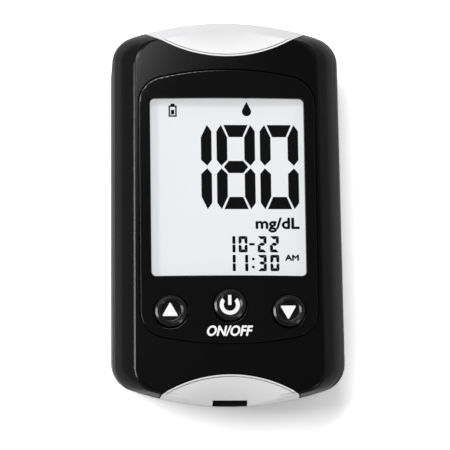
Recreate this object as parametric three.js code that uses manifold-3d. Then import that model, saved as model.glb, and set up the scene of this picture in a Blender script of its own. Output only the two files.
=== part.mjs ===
// A handheld blood glucose meter, lying on its back on four rubber feet.
// Millimetres. +X is to the right of the display, +Y towards the top end, +Z out of the face.
// The origin lies on the table, under the middle of the body.

import * as THREE from 'three';
import { mergeVertices } from 'three/addons/utils/BufferGeometryUtils.js';
import Module from 'manifold-3d';

const wasm = await Module();
wasm.setup();

// Body
const bodyLength = 109.9;
const bodyWidth = 64.2;
const sideTaper = 0.25;
const endRadius = 82;
const cornerRadius = 8;
const faceHeight = 23.5;
const crownDrop = 2.16;
const partingHeight = 16.5;
const backHeight = 0.6;
const wall = 1.8;
const clearance = 0.3;
const overrun = 4;

// Front shell
const flankInset = 5.0;
const flankBulge = 0.35;
const topEndInset = 3.4;
const bottomEndInset = 0.4;
const shoulderCornerRadius = 7;
const shoulderWidth = 0.8;
const shoulderDrop = 0.35;
const coverFloor = 1.2;

// Rear shell
const backFloor = 2.0;
const backRound = 5;
const endTuckAngle = 10;
const lipDepth = 2.5;
const lipRise = 1.4;
const lipWall = 0.8;
const lipEndMargin = 16.95;

// Silver end caps
const topCapLength = 11.4;
const bottomCapLength = 8.1;
const capArcRadius = 36.5;
const capSlopeAngle = 8.65;
const capEdgeAngle = 70;
const topCapStartHandle = 8.2;
const topCapEdgeHandle = 3.9;
const bottomCapStartHandle = 4.5;
const bottomCapEdgeHandle = 3.5;
const capWall = 1.4;
const capSeatWall = 1.2;
const capSeatReach = 3;
const capRimWidth = 0.4;
const capGrooveWidth = 0.3;
const capGrooveDepth = 0.4;
const capFanAngle = 48;

// Test strip slot
const slotWidth = 9.7;
const slotHeight = 2.5;
const slotNotch = 0.4;
const slotReach = 7.5;

// Bezel panel
const bezelSideMargin = 7.4;
const bezelTopMargin = 15.2;
const bezelBottomMargin = 16.7;
const bezelEndRadius = 88;
const bezelCornerRadius = 7.5;
const bezelThickness = 1.2;
const bezelSink = 0.15;
const bezelChamfer = 0.4;
const windowSideMargin = 3.15;
const windowTopMargin = 8.1;
const windowBottomMargin = 19.2;
const windowCornerRadius = 1.3;

// Display stack
const displayWindowMargin = 1.6;
const displayWindowThickness = 1.0;
const displayWindowSink = 0.45;
const lcdMargin = 1.4;
const lcdThickness = 1.7;
const lightGuideThickness = 1.3;
const lcdLedge = 3.2;
const elastomerWidth = 2.0;

// Buttons
const buttonRadius = 4.45;
const buttonCrestRadius = 3.9;
const buttonDishRadius = 3.2;
const buttonDishDepth = 0.35;
const buttonProud = 1.3;
const buttonRimDrop = 0.8;
const buttonTravel = 0.6;
const buttonSideMargin = 8.3;
const sideButtonMargin = 9.1;
const middleButtonMargin = 10.7;
const buttonFlange = 0.9;
const buttonFlangeThickness = 0.8;
const buttonCollarWall = 0.9;
const plungerRadius = 1.6;
const switchHalf = 3;
const switchHeight = 1.7;
const plungerSink = 0.5;

// Main board
const boardSideMargin = 7.1;
const boardEndMargin = 16.95;
const boardThickness = 1.2;
const boardTongueHalfWidth = 12.5;
const boardTongueMargin = 5.75;
const boardCorner = 2;

// Batteries and their bay
const cellRadius = 5.25;
const cellLength = 44.5;
const cellNubRadius = 1.9;
const cellNubLength = 1.0;
const cellEdge = 0.6;
const cellGap = 0.4;
const springRoom = 4.0;
const plateRoom = 1.2;
const bayEndMargin = 9.65;
const bayWall = 0.8;
const bayEndWall = 1.0;
const contactSheet = 0.4;
const contactHalfWidth = 3.6;
const contactHeight = 7.5;

// Battery door
const doorHalfWidth = 12.6;
const doorSkin = 1.0;
const doorFlange = 1.2;
const doorFlangeThickness = 0.8;
const doorLead = 5.8;
const gripGrooves = 5;
const gripPitch = 2.4;
const gripHalfWidth = 7;
const gripRadius = 0.5;
const gripMargin = 5.2;

// Screws, towers and posts
const screwSideMargin = 10.1;
const screwTopMargin = 10.95;
const screwBottomMargin = 9.95;
const screwHeadRadius = 2.3;
const screwHeadHeight = 1.6;
const screwRadius = 1.0;
const screwLength = 13.5;
const screwDriveRadius = 1.1;
const screwDriveDepth = 0.9;
const headSink = 1.4;
const towerWall = 1.6;
const postSideMargin = 9.8;
const postTopMargin = 23.95;
const postBottomMargin = 22.45;
const postRadius = 2.2;
const postPinRadius = 1.2;

// Rubber feet
const footRadius = 4;
const footThickness = 1.2;
const footSideMargin = 9.6;
const footTopMargin = 24.95;
const footBottomMargin = 20.95;

// Strip connector
const connectorHalfWidth = 6.4;
const connectorHeight = 3.2;
const connectorLength = 11.5;
const connectorGap = 1.0;
const connectorStripHalfWidth = 4.4;
const connectorStripThickness = 1.0;
const connectorSole = 0.9;
const stripStop = 2.0;
const stripContactPitch = 2.4;
const stripContactHalfWidth = 0.5;
const stripContactSheet = 0.25;
const stripContactBow = 0.45;

// Board components, beside the battery bay
const bayNeighbourGap = 0.8;
const chipHalfWidth = 4.4;
const chipHalfLength = 4.5;
const chipHeight = 1.0;
const chipAlong = 6;
const radioHalfWidth = 4.4;
const radioHalfLength = 7;
const radioHeight = 1.6;
const radioAlong = 14;
const shieldWall = 0.4;
const buzzerRadius = 4.2;
const buzzerHeight = 3;
const buzzerAlong = 18;
const buzzerPortRadius = 1;

// How finely round things are drawn
const cornerSteps = 6;
const endSteps = 4;
const flankSteps = 4;
const roundSteps = 4;
const crownSteps = 12;
const profileSteps = 8;
const holeSides = 24;
const pinSides = 16;

const radians = THREE.MathUtils.degToRad;
const halfLength = bodyLength / 2;
const halfWidth = bodyWidth / 2;
const crownRadius = (halfWidth ** 2 + crownDrop ** 2) / (crownDrop * 2);
const shoulderHeight = crownAt(halfWidth - flankInset);
const flankTop = shoulderHeight - shoulderDrop;
const widthReach = halfWidth + overrun;
const lengthReach = halfLength + overrun;
const frontBase = partingHeight + clearance;
const topCapStart = halfLength - topCapLength;
const bottomCapStart = halfLength - bottomCapLength;

// Places in plan: each is worked out from the edge that it keeps its margin to.
const bezelHalfWidth = halfWidth - bezelSideMargin;
const bezelTop = halfLength - bezelTopMargin;
const bezelBottom = bezelBottomMargin - halfLength;
const windowHalfWidth = bezelHalfWidth - windowSideMargin;
const windowTop = bezelTop - windowTopMargin;
const windowBottom = bezelBottom + windowBottomMargin;
const buttonSpread = bezelHalfWidth - buttonSideMargin;
const sideButtonY = bezelBottom + sideButtonMargin;
const middleButtonY = bezelBottom + middleButtonMargin;
const boardHalfWidth = halfWidth - boardSideMargin;
const boardTop = halfLength - boardEndMargin;
const boardBottom = boardEndMargin - halfLength;
const boardTongueBottom = boardTongueMargin - halfLength;
const screwX = halfWidth - screwSideMargin;
const screwTopY = halfLength - screwTopMargin;
const screwBottomY = screwBottomMargin - halfLength;
const postX = halfWidth - postSideMargin;
const postTopY = halfLength - postTopMargin;
const postBottomY = postBottomMargin - halfLength;
const footX = halfWidth - footSideMargin;
const footTopY = halfLength - footTopMargin;
const footBottomY = footBottomMargin - halfLength;
const cellX = cellRadius + cellGap / 2;
const bayHalfWidth = cellX + cellRadius + clearance;
const bayOuter = bayHalfWidth + bayWall * 2;
const bayEnd = halfLength - bayEndMargin;
const bayStart = bayEnd - cellLength - springRoom - plateRoom;
const doorStart = bayStart - doorLead;

// Heights of the stack, from the table upwards
const doorTopHeight = backHeight + doorSkin + doorFlangeThickness;
const cellHeight = doorTopHeight + clearance + cellRadius;
const bayRoof = cellHeight + cellRadius + clearance + bayWall;
const boardBase = bayRoof + clearance;
const boardSurface = boardBase + boardThickness;
const lightGuideBase = boardSurface + clearance;
const lcdBase = lightGuideBase + lightGuideThickness + clearance;
const bezelTopHeight = faceHeight - bezelSink;
const bezelBase = bezelTopHeight - bezelThickness;
const recessFloor = bezelBase - clearance;
const recessUnderside = recessFloor - coverFloor;
const displayWindowTop = bezelBase - rise(windowHalfWidth) - displayWindowSink;

const colours = {
  faceBlack: 0x1b1b1d,
  bezelBlack: 0x0b0b0c,
  buttonBlack: 0x131314,
  silver: 0xc9cacc,
  rearGrey: 0x2b2b2e,
  clear: 0xe8ecec,
  displayGrey: 0xdfe2e0,
  white: 0xf1f1ee,
  boardGreen: 0x1f5a36,
  rubber: 0x1a1a1a,
  nickel: 0xb8b4a8,
  gold: 0xc9a85a,
  steel: 0x8f9296,
  cell: 0x3c4046,
  connector: 0xd9d5c8,
};

// The face and every layer under it are arched across the width: how far the arch has dropped at x,
// and its height there.
function rise(x) {
  return crownRadius - Math.sqrt(crownRadius ** 2 - x ** 2);
}

function crownAt(x) {
  return faceHeight - rise(x);
}

// Solids: three.js geometry to a closed solid that can be cut and joined, and back.
function solid(geometry) {
  const bare = geometry.clone();
  bare.deleteAttribute('normal');
  bare.deleteAttribute('uv');
  const merged = mergeVertices(bare, 1e-5);
  const mesh = new wasm.Mesh({
    numProp: 3,
    vertProperties: new Float32Array(merged.attributes.position.array),
    triVerts: new Uint32Array(merged.index.array),
  });
  return new wasm.Manifold(mesh);
}

function geometryOf(body) {
  const mesh = body.getMesh();
  const geometry = new THREE.BufferGeometry();
  geometry.setAttribute('position', new THREE.BufferAttribute(new Float32Array(mesh.vertProperties), 3));
  geometry.setIndex(new THREE.BufferAttribute(new Uint32Array(mesh.triVerts), 1));
  geometry.computeVertexNormals();
  return geometry;
}

function joined(...bodies) {
  return bodies.reduce((sum, body) => sum.add(body));
}

function without(body, ...cuts) {
  return cuts.reduce((rest, cut) => rest.subtract(cut), body);
}

// Basic forms
function block(xs, ys, zs) {
  const geometry = new THREE.BoxGeometry(xs[1] - xs[0], ys[1] - ys[0], zs[1] - zs[0]);
  geometry.translate((xs[0] + xs[1]) / 2, (ys[0] + ys[1]) / 2, (zs[0] + zs[1]) / 2);
  return solid(geometry);
}

function disc(x, y, radius, zs, sides = holeSides) {
  const geometry = new THREE.CylinderGeometry(radius, radius, zs[1] - zs[0], sides);
  geometry.rotateX(Math.PI / 2);
  geometry.translate(x, y, (zs[0] + zs[1]) / 2);
  return solid(geometry);
}

function rodAlongY(x, z, radius, ys, sides = holeSides) {
  const geometry = new THREE.CylinderGeometry(radius, radius, ys[1] - ys[0], sides);
  geometry.translate(x, (ys[0] + ys[1]) / 2, z);
  return solid(geometry);
}

function turned(profile, x, y, sides = holeSides) {
  const geometry = new THREE.LatheGeometry(profile.map(([r, z]) => new THREE.Vector2(r, z)), sides);
  geometry.rotateX(Math.PI / 2);
  geometry.translate(x, y, 0);
  return solid(geometry);
}

// An outline in X and Y, raised from one height to another.
function prism(points, zs) {
  const shape = new THREE.Shape(points.map(([x, y]) => new THREE.Vector2(x, y)));
  const geometry = new THREE.ExtrudeGeometry(shape, { depth: zs[1] - zs[0], bevelEnabled: false });
  geometry.translate(0, 0, zs[0]);
  return solid(geometry);
}

// A section in X and Z, run along Y.
function runAlongY(points, ys) {
  const shape = new THREE.Shape(points.map(([x, z]) => new THREE.Vector2(x, z)));
  const geometry = new THREE.ExtrudeGeometry(shape, { depth: ys[1] - ys[0], bevelEnabled: false });
  geometry.rotateX(Math.PI / 2);
  geometry.translate(0, ys[1], 0);
  return solid(geometry);
}

// A section in Y and Z, run along X.
function runAlongX(points, xs) {
  const shape = new THREE.Shape(points.map(([y, z]) => new THREE.Vector2(y, z)));
  const geometry = new THREE.ExtrudeGeometry(shape, { depth: xs[1] - xs[0], bevelEnabled: false });
  geometry.rotateX(Math.PI / 2);
  geometry.rotateZ(Math.PI / 2);
  geometry.translate(xs[0], 0, 0);
  return solid(geometry);
}

// Sheet metal: a band of even thickness along a line of points.
function band(points, thickness) {
  const offsets = points.map(([a, b], i) => {
    const before = points[Math.max(i - 1, 0)];
    const after = points[Math.min(i + 1, points.length - 1)];
    const run = new THREE.Vector2(after[0] - before[0], after[1] - before[1]).normalize();
    return [a - run.y * thickness, b + run.x * thickness];
  });
  return [...points, ...offsets.reverse()];
}

// The plan outline: two nearly straight sides, two shallow end arcs and four round corners.
// Points run anticlockwise seen from above.
function outline({ top, bottom, right, taper = 0, corner, endArc = endRadius }) {
  const quarter = (reach, side, forward) => {
    const cx = side - corner;
    const arcCentre = reach - endArc;
    const cy = arcCentre + Math.sqrt((endArc - corner) ** 2 - cx ** 2);
    const meet = Math.atan2(cy - arcCentre, cx);
    const points = [];
    for (let i = 0; i <= cornerSteps; i += 1) {
      const a = (meet * i) / cornerSteps;
      points.push([cx + corner * Math.cos(a), cy + corner * Math.sin(a)]);
    }
    for (let i = 1; i <= endSteps; i += 1) {
      const a = meet + ((Math.PI / 2 - meet) * i) / endSteps;
      points.push([endArc * Math.cos(a), arcCentre + endArc * Math.sin(a)]);
    }
    return points.map(([x, y]) => [x, forward * y]);
  };
  const upper = quarter(top, right - taper, 1);
  const lower = quarter(bottom, right + taper, -1);
  const apex = 1;
  return [
    ...upper,
    ...upper.slice(0, -apex).reverse().map(([x, y]) => [-x, y]),
    ...lower.map(([x, y]) => [-x, y]),
    ...lower.slice(0, -apex).reverse(),
  ];
}

function roundedRectangle(xs, ys, radius) {
  const shape = new THREE.Shape();
  shape.absarc(xs[1] - radius, ys[1] - radius, radius, 0, Math.PI / 2);
  shape.absarc(xs[0] + radius, ys[1] - radius, radius, Math.PI / 2, Math.PI);
  shape.absarc(xs[0] + radius, ys[0] + radius, radius, Math.PI, Math.PI * 1.5);
  shape.absarc(xs[1] - radius, ys[0] + radius, radius, Math.PI * 1.5, Math.PI * 2);
  const points = shape.getPoints(cornerSteps / 2).map((p) => [p.x, p.y]);
  return points.filter(([x, y], i) => {
    const [nextX, nextY] = points[(i + 1) % points.length];
    return Math.hypot(nextX - x, nextY - y) > 1e-6;
  });
}

// A closed skin through a stack of outlines that have the same number of points.
function loft(rings) {
  const count = rings[0].points.length;
  const positions = rings.flatMap(({ points, z }) => points.flatMap(([x, y]) => [x, y, z]));
  const faces = [];
  for (let level = 0; level < rings.length - 1; level += 1) {
    for (let i = 0; i < count; i += 1) {
      const next = (i + 1) % count;
      const a = level * count + i;
      const b = level * count + next;
      faces.push(a, b, b + count, a, b + count, a + count);
    }
  }
  const lid = (ring) => THREE.ShapeUtils.triangulateShape(
    ring.points.map(([x, y]) => new THREE.Vector2(x, y)),
    [],
  );
  const last = (rings.length - 1) * count;
  lid(rings[0]).forEach(([a, b, c]) => faces.push(a, c, b));
  lid(rings[rings.length - 1]).forEach(([a, b, c]) => faces.push(last + a, last + b, last + c));
  const geometry = new THREE.BufferGeometry();
  geometry.setAttribute('position', new THREE.Float32BufferAttribute(positions, 3));
  geometry.setIndex(faces);
  return solid(geometry);
}

function bodyOutline({ side = 0, top = 0, bottom = 0, corner = cornerRadius, inset = 0 }) {
  return outline({
    top: halfLength - top - inset,
    bottom: halfLength - bottom - inset,
    right: halfWidth - side - inset,
    taper: sideTaper,
    corner: Math.max(corner - inset, clearance),
    endArc: endRadius - inset,
  });
}

// How far the flanks have leaned in at a height, as a share of their whole lean.
function leanShare(z) {
  const t = (z - frontBase) / (flankTop - frontBase);
  return t + flankBulge * t * (t - 1);
}

// The front shell's walls lean in towards the shoulder line, then turn over it with a small chamfer.
// The hidden walls are drawn in half as many steps.
function frontWalls(inset) {
  const rings = [];
  const steps = inset ? flankSteps / 2 : flankSteps;
  for (let i = 0; i <= steps; i += 1) {
    const t = i / steps;
    const z = THREE.MathUtils.lerp(frontBase, flankTop, t);
    const lean = leanShare(z);
    rings.push({
      z,
      points: bodyOutline({
        side: flankInset * lean,
        top: topEndInset * lean,
        bottom: bottomEndInset * lean,
        corner: THREE.MathUtils.lerp(cornerRadius, shoulderCornerRadius, t),
        inset,
      }),
    });
  }
  const last = {
    side: flankInset + shoulderWidth,
    top: topEndInset,
    bottom: bottomEndInset,
    corner: shoulderCornerRadius,
    inset,
  };
  rings.push({ z: shoulderHeight, points: bodyOutline(last) });
  rings.push({ z: faceHeight + overrun, points: bodyOutline(last) });
  if (inset) rings.unshift({ z: frontBase - overrun, points: rings[0].points });
  return loft(rings);
}

// How the surface of a silver cap falls away outwards from its arc: distances from the arc, each with
// how far the surface has dropped there.
function capFall(end, steps) {
  const length = end > 0 ? topCapLength : bottomCapLength;
  const startHandle = end > 0 ? topCapStartHandle : bottomCapStartHandle;
  const edgeHandle = end > 0 ? topCapEdgeHandle : bottomCapEdgeHandle;
  const slope = radians(capSlopeAngle);
  const edge = radians(capEdgeAngle);
  const depth = faceHeight - frontBase;
  const run = new THREE.CubicBezierCurve(
    new THREE.Vector2(0, 0),
    new THREE.Vector2(startHandle * Math.cos(slope), startHandle * Math.sin(slope)),
    new THREE.Vector2(length - edgeHandle * Math.cos(edge), depth - edgeHandle * Math.sin(edge)),
    new THREE.Vector2(length, depth),
  );
  const points = run.getPoints(steps).map((p) => [p.x, p.y]);
  return [[-capSeatReach * 2, 0], ...points, [length + overrun / Math.tan(edge), depth + overrun]];
}

// The angles, seen from the centre of a cap's arc, at which its surface is drawn.
function capFan(steps) {
  const fan = radians(capFanAngle);
  return Array.from({ length: steps * 2 + 1 }, (unused, i) => THREE.MathUtils.lerp(-fan, fan, i / (steps * 2)));
}

// Everything under the surface of a silver cap, moved in by inset: the arch of the face, falling away
// from the cap's arc. The hidden surfaces are drawn in half as many steps.
function capDome(end, inset) {
  const centre = (end > 0 ? topCapStart : bottomCapStart) + capArcRadius;
  const steps = inset ? profileSteps / 2 : profileSteps;
  const rows = capFall(end, steps);
  const fan = capFan(steps);
  const columns = steps * 2;
  const top = rows.flatMap(([distance, drop]) => fan.map((a) => {
    const radius = capArcRadius - distance + inset;
    const x = radius * Math.sin(a);
    const y = centre - radius * Math.cos(a);
    return [end > 0 ? x : -x, end * y, crownAt(x) - drop - inset];
  }));
  const count = top.length;
  const positions = [...top.flat(), ...top.flatMap(([x, y]) => [x, y, -overrun])];
  const faces = [];
  const quad = (a, b, c, d) => faces.push(a, b, c, a, c, d);
  const width = columns + 1;
  for (let row = 0; row < rows.length - 1; row += 1) {
    for (let i = 0; i < columns; i += 1) {
      const a = row * width + i;
      quad(a, a + 1, a + 1 + width, a + width);
      quad(count + a, count + a + width, count + a + 1 + width, count + a + 1);
    }
    const left = row * width;
    const right = left + columns;
    quad(left, left + width, count + left + width, count + left);
    quad(right, count + right, count + right + width, right + width);
  }
  const last = (rows.length - 1) * width;
  for (let i = 0; i < columns; i += 1) {
    quad(i, count + i, count + i + 1, i + 1);
    quad(last + i, last + i + 1, count + last + i + 1, count + last + i);
  }
  const geometry = new THREE.BufferGeometry();
  geometry.setAttribute('position', new THREE.Float32BufferAttribute(positions, 3));
  geometry.setIndex(faces);
  return solid(geometry);
}

// A slab with an arched top, from a flat base, that follows the arch of the face.
function archedLayer(half, topHeight, base, reach, chamfer = 0) {
  const points = [];
  for (let i = 0; i <= crownSteps; i += 1) {
    const x = THREE.MathUtils.lerp(half - chamfer, chamfer - half, i / crownSteps);
    points.push([x, topHeight - rise(x)]);
  }
  const edge = topHeight - rise(half) - chamfer;
  const sides = chamfer ? [[-half, edge]] : [];
  const start = chamfer ? [[half, edge]] : [];
  return runAlongY([[half, base], ...start, ...points, ...sides, [-half, base]], [-reach, reach]);
}

// The slab between two arched surfaces.
function archedSheet(half, topHeight, thickness, reach, chamfer = 0) {
  const above = archedLayer(half, topHeight, 0, reach, chamfer);
  const below = archedLayer(half + overrun, topHeight - thickness, -overrun, reach + overrun);
  return above.subtract(below);
}

function frontEnvelope(inset = 0) {
  return frontWalls(inset).intersect(archedLayer(widthReach, faceHeight - inset, 0, lengthReach));
}

function capEnvelope(end, inset = 0) {
  return frontEnvelope(inset).intersect(capDome(end, inset));
}

// What lies outside the arc where a silver cap begins. A larger margin moves the arc inwards.
function capRegion(end, margin = 0) {
  const radius = capArcRadius + margin;
  const centre = (end > 0 ? topCapStart : bottomCapStart) + capArcRadius;
  const arc = capFan(profileSteps).map((a) => [radius * Math.sin(a), centre - radius * Math.cos(a)]);
  const [edgeX, edgeY] = arc[arc.length - 1];
  const farY = Math.max(lengthReach, edgeY + overrun);
  const region = [...arc, [edgeX, farY], [-edgeX, farY]];
  const placed = end > 0 ? region : region.map(([x, y]) => [x, -y]).reverse();
  return prism(placed, [0, faceHeight + overrun]);
}

const slotRange = [-slotWidth / 2, slotWidth / 2];
const slotHeights = [partingHeight - slotNotch, frontBase + slotHeight];
const stripSlot = block(slotRange, [-lengthReach, slotReach - halfLength], slotHeights);

// Silver caps: a shell that falls away from the face, with a fine groove beside its arc.
function cap(end) {
  const region = capRegion(end, -clearance / 2);
  const shell = capEnvelope(end).intersect(region).subtract(capEnvelope(end, capWall));
  const grooveOuter = capRegion(end, -clearance / 2 - capRimWidth);
  const grooveInner = capRegion(end, -clearance / 2 - capRimWidth - capGrooveWidth);
  const groove = grooveOuter.subtract(grooveInner).subtract(capEnvelope(end, capGrooveDepth));
  return shell.subtract(groove);
}

// Plan outlines of the display stack
function bezelOutline(margin = 0) {
  return outline({
    top: bezelTop + margin,
    bottom: margin - bezelBottom,
    right: bezelHalfWidth + margin,
    corner: bezelCornerRadius + margin,
    endArc: bezelEndRadius + margin,
  });
}

function windowOutline(margin = 0) {
  return roundedRectangle(
    [-windowHalfWidth - margin, windowHalfWidth + margin],
    [windowBottom - margin, windowTop + margin],
    windowCornerRadius + margin,
  );
}

const buttons = [
  { name: 'up', x: -buttonSpread, y: sideButtonY },
  { name: 'power', x: 0, y: middleButtonY },
  { name: 'down', x: buttonSpread, y: sideButtonY },
];
const screwPlaces = [
  { name: 'top_left', x: -screwX, y: screwTopY },
  { name: 'top_right', x: screwX, y: screwTopY },
  { name: 'bottom_left', x: -screwX, y: screwBottomY },
  { name: 'bottom_right', x: screwX, y: screwBottomY },
];
const footPlaces = [
  { name: 'top_left', x: -footX, y: footTopY },
  { name: 'top_right', x: footX, y: footTopY },
  { name: 'bottom_left', x: -footX, y: footBottomY },
  { name: 'bottom_right', x: footX, y: footBottomY },
];
const postPlaces = [[-postX, postTopY], [postX, postTopY], [-postX, postBottomY], [postX, postBottomY]];

const towerRadius = screwHeadRadius + clearance + towerWall;
const bossRadius = screwRadius + clearance + towerWall;
const headBase = backHeight + headSink;
const headTop = headBase + screwHeadHeight;
const screwTip = headTop + screwLength;
const tapTop = Math.min(screwTip + clearance, recessFloor - clearance);

// Front cover: the arched face, its leaning flanks, the recess for the bezel, seats for the caps,
// collars round the buttons and bosses for the screws.
function frontCover() {
  const shell = frontEnvelope().subtract(frontEnvelope(wall));
  const capCuts = [1, -1].map((end) => capRegion(end, clearance / 2));
  const open = without(shell, ...capCuts);
  const seatDepth = capWall + clearance;
  const seatSkin = (end) => capEnvelope(end, seatDepth).subtract(capEnvelope(end, seatDepth + capSeatWall));
  const frontSpan = block([-widthReach, widthReach], [-lengthReach, lengthReach], [frontBase, faceHeight]);
  const seats = [1, -1].map((end) => seatSkin(end)
    .intersect(capRegion(end, capSeatReach))
    .intersect(frontSpan));
  const tray = prism(bezelOutline(wall), [0, faceHeight])
    .intersect(archedSheet(halfWidth, recessFloor, coverFloor, halfLength))
    .intersect(frontEnvelope(clearance));
  const above = archedLayer(widthReach, faceHeight + overrun, 0, lengthReach)
    .subtract(archedLayer(widthReach + overrun, recessFloor, -overrun, lengthReach + overrun));
  const recess = prism(bezelOutline(clearance), [0, faceHeight + overrun]).intersect(above);
  const rimWall = prism(bezelOutline(wall), [0, faceHeight])
    .subtract(prism(bezelOutline(0), [-overrun, faceHeight + overrun]))
    .intersect(archedSheet(halfWidth, faceHeight - clearance, faceHeight - recessUnderside, halfLength))
    .intersect(frontEnvelope(clearance));
  const bossBase = boardBase;
  const bosses = screwPlaces.map(({ x, y }) => disc(x, y, bossRadius, [bossBase, faceHeight], pinSides)
    .intersect(frontEnvelopeDown(clearance)));
  const collarBase = recessUnderside - rise(buttonSpread) - buttonFlangeThickness;
  const collars = buttons.map(({ x, y }) => disc(
    x,
    y,
    buttonRadius + buttonFlange + clearance + buttonCollarWall,
    [collarBase, recessFloor - rise(x)],
    pinSides,
  ));
  const taps = screwPlaces.map(({ x, y }) => disc(
    x,
    y,
    screwRadius + clearance,
    [bossBase - overrun, tapTop],
    pinSides,
  ));
  const buttonHoles = buttons.map(({ x, y }) => disc(
    x,
    y,
    buttonRadius + clearance,
    [0, faceHeight + overrun],
  ));
  const flangeRooms = buttons.map(({ x, y }) => disc(
    x,
    y,
    buttonRadius + buttonFlange + clearance,
    [0, recessUnderside - rise(buttonSpread)],
    pinSides,
  ));
  const displayHole = prism(windowOutline(displayWindowMargin + clearance), [0, faceHeight]);
  return without(
    joined(open, ...seats, tray, rimWall, ...bosses, ...collars),
    recess,
    displayHole,
    ...buttonHoles,
    ...flangeRooms,
    ...taps,
    stripSlot,
  );
}

// The front envelope carried on downwards, so that a boss under the face can hang below the parting.
function frontEnvelopeDown(inset) {
  return frontEnvelope(inset).add(loft([
    { z: boardBase - overrun, points: bodyOutline({ inset }) },
    { z: frontBase + clearance, points: bodyOutline({ inset }) },
  ]));
}

// Rear envelope: straight sides, ends that tuck in, and one round all along the back edge.
function rearEnvelope(inset = 0, base = backHeight, topHeight = partingHeight) {
  const tuck = Math.tan(radians(endTuckAngle));
  const rings = [];
  const round = backRound - inset;
  for (let i = 0; i <= roundSteps; i += 1) {
    const a = (Math.PI / 2) * (i / roundSteps);
    const z = base + round * (1 - Math.cos(a));
    const pulledIn = round * (1 - Math.sin(a));
    const tucked = tuck * (partingHeight - z);
    rings.push({
      z,
      points: bodyOutline({
        side: pulledIn,
        top: pulledIn + tucked,
        bottom: pulledIn + tucked,
        inset,
      }),
    });
  }
  rings.push({ z: topHeight, points: bodyOutline({ inset }) });
  return loft(rings);
}

// The battery door's section across the meter, grown by a gap for the channel that it runs in.
function doorSection(gap = 0) {
  const low = backHeight - (gap ? overrun : 0);
  const step = backHeight + doorSkin - gap;
  const topHeight = doorTopHeight + gap;
  const narrow = doorHalfWidth + gap;
  const wide = doorHalfWidth + doorFlange + gap;
  return [
    [narrow, low],
    [narrow, step],
    [wide, step],
    [wide, topHeight],
    [-wide, topHeight],
    [-wide, step],
    [-narrow, step],
    [-narrow, low],
  ];
}

const channelDepth = doorTopHeight + clearance;
const contactHeights = [cellHeight - contactHeight / 2, cellHeight + contactHeight / 2];

// Rear cover: the tub, its locating lip, the battery bay with its fluted roof, screw towers,
// board posts, seats for the feet and the channel for the battery door.
function rearCover() {
  const tub = rearEnvelope().subtract(rearEnvelope(wall, backHeight + backFloor, partingHeight + overrun));
  const lipBand = (outer, inner, zs) => prism(bodyOutline({ inset: outer }), zs)
    .subtract(prism(bodyOutline({ inset: inner }), [zs[0] - overrun, zs[1] + overrun]));
  const lipOuter = wall + clearance + flankInset * leanShare(partingHeight + lipRise);
  const lipInner = lipOuter + lipWall;
  const lipReach = halfLength - lipEndMargin;
  const lipSpan = block([-widthReach, widthReach], [-lipReach, lipReach], [0, faceHeight]);
  const lip = joined(
    lipBand(wall - clearance, lipInner, [partingHeight - lipDepth, partingHeight - clearance]),
    lipBand(lipOuter, lipInner, [partingHeight - lipDepth, partingHeight + lipRise]),
  ).intersect(lipSpan);
  const bayBlock = block(
    [-bayOuter, bayOuter],
    [bayStart - bayEndWall, bayEnd + bayEndWall],
    [backHeight + doorSkin, bayRoof],
  );
  const channelWalls = block(
    [-doorHalfWidth - doorFlange - wall, doorHalfWidth + doorFlange + wall],
    [doorStart - wall, halfLength],
    [backHeight, channelDepth + bayWall],
  ).intersect(rearEnvelope(clearance));
  const towers = screwPlaces.map(({ x, y }) => disc(
    x,
    y,
    towerRadius,
    [backHeight + clearance, boardBase - clearance],
    pinSides,
  ).intersect(rearEnvelope(clearance)));
  const posts = postPlaces.map(([x, y]) => joined(
    disc(x, y, postRadius, [backHeight + clearance, boardBase - clearance], pinSides),
    disc(x, y, postPinRadius, [backHeight + clearance, boardSurface], pinSides),
  ));
  const flutes = [-cellX, cellX].map((x) => rodAlongY(
    x,
    cellHeight,
    cellRadius + clearance,
    [bayStart, bayEnd],
  ));
  const bayMouth = block([-bayHalfWidth, bayHalfWidth], [bayStart, bayEnd], [0, cellHeight]);
  const contactRoom = contactSheet + clearance * 2;
  const contactRooms = [[bayStart, bayStart + contactRoom], [bayEnd - contactRoom, bayEnd]].map((ys) => block(
    [-cellX - contactHalfWidth - clearance, cellX + contactHalfWidth + clearance],
    ys,
    [cellHeight, contactHeights[1] + clearance * 2],
  ));
  const channel = runAlongY(doorSection(clearance), [doorStart - clearance, lengthReach]);
  const headHoles = screwPlaces.map(({ x, y }) => joined(
    disc(x, y, screwHeadRadius + clearance, [0, headTop + clearance], pinSides),
    disc(x, y, screwRadius + clearance, [0, faceHeight], pinSides),
  ));
  const footSeats = footPlaces.map(({ x, y }) => disc(
    x,
    y,
    footRadius + clearance,
    [0, footThickness + clearance],
  ));
  return without(
    joined(tub, lip, bayBlock, channelWalls, ...towers, ...posts),
    bayMouth,
    ...contactRooms,
    ...flutes,
    channel,
    ...headHoles,
    ...footSeats,
    stripSlot,
  );
}

// Battery door: a flanged plate that follows the back and its end, with a row of finger grooves.
function batteryDoor() {
  const plate = runAlongY(doorSection(), [doorStart, halfLength]).intersect(rearEnvelope());
  const grooves = Array.from({ length: gripGrooves }, (unused, i) => {
    const geometry = new THREE.CylinderGeometry(gripRadius, gripRadius, gripHalfWidth * 2, pinSides);
    geometry.rotateZ(Math.PI / 2);
    geometry.translate(0, doorStart + gripMargin + i * gripPitch, backHeight);
    return solid(geometry);
  });
  return without(plate, ...grooves);
}

// Bezel: a glossy arched panel with the window and three button holes.
function bezelPanel() {
  const chamferHalf = bezelHalfWidth + bezelChamfer / 4;
  const sheet = archedSheet(chamferHalf, bezelTopHeight, bezelThickness, halfLength, bezelChamfer);
  const holes = buttons.map(({ x, y }) => disc(x, y, buttonRadius + clearance, [0, faceHeight]));
  return without(
    sheet.intersect(prism(bezelOutline(), [0, faceHeight])),
    prism(windowOutline(), [0, faceHeight + overrun]),
    ...holes,
  );
}

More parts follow.
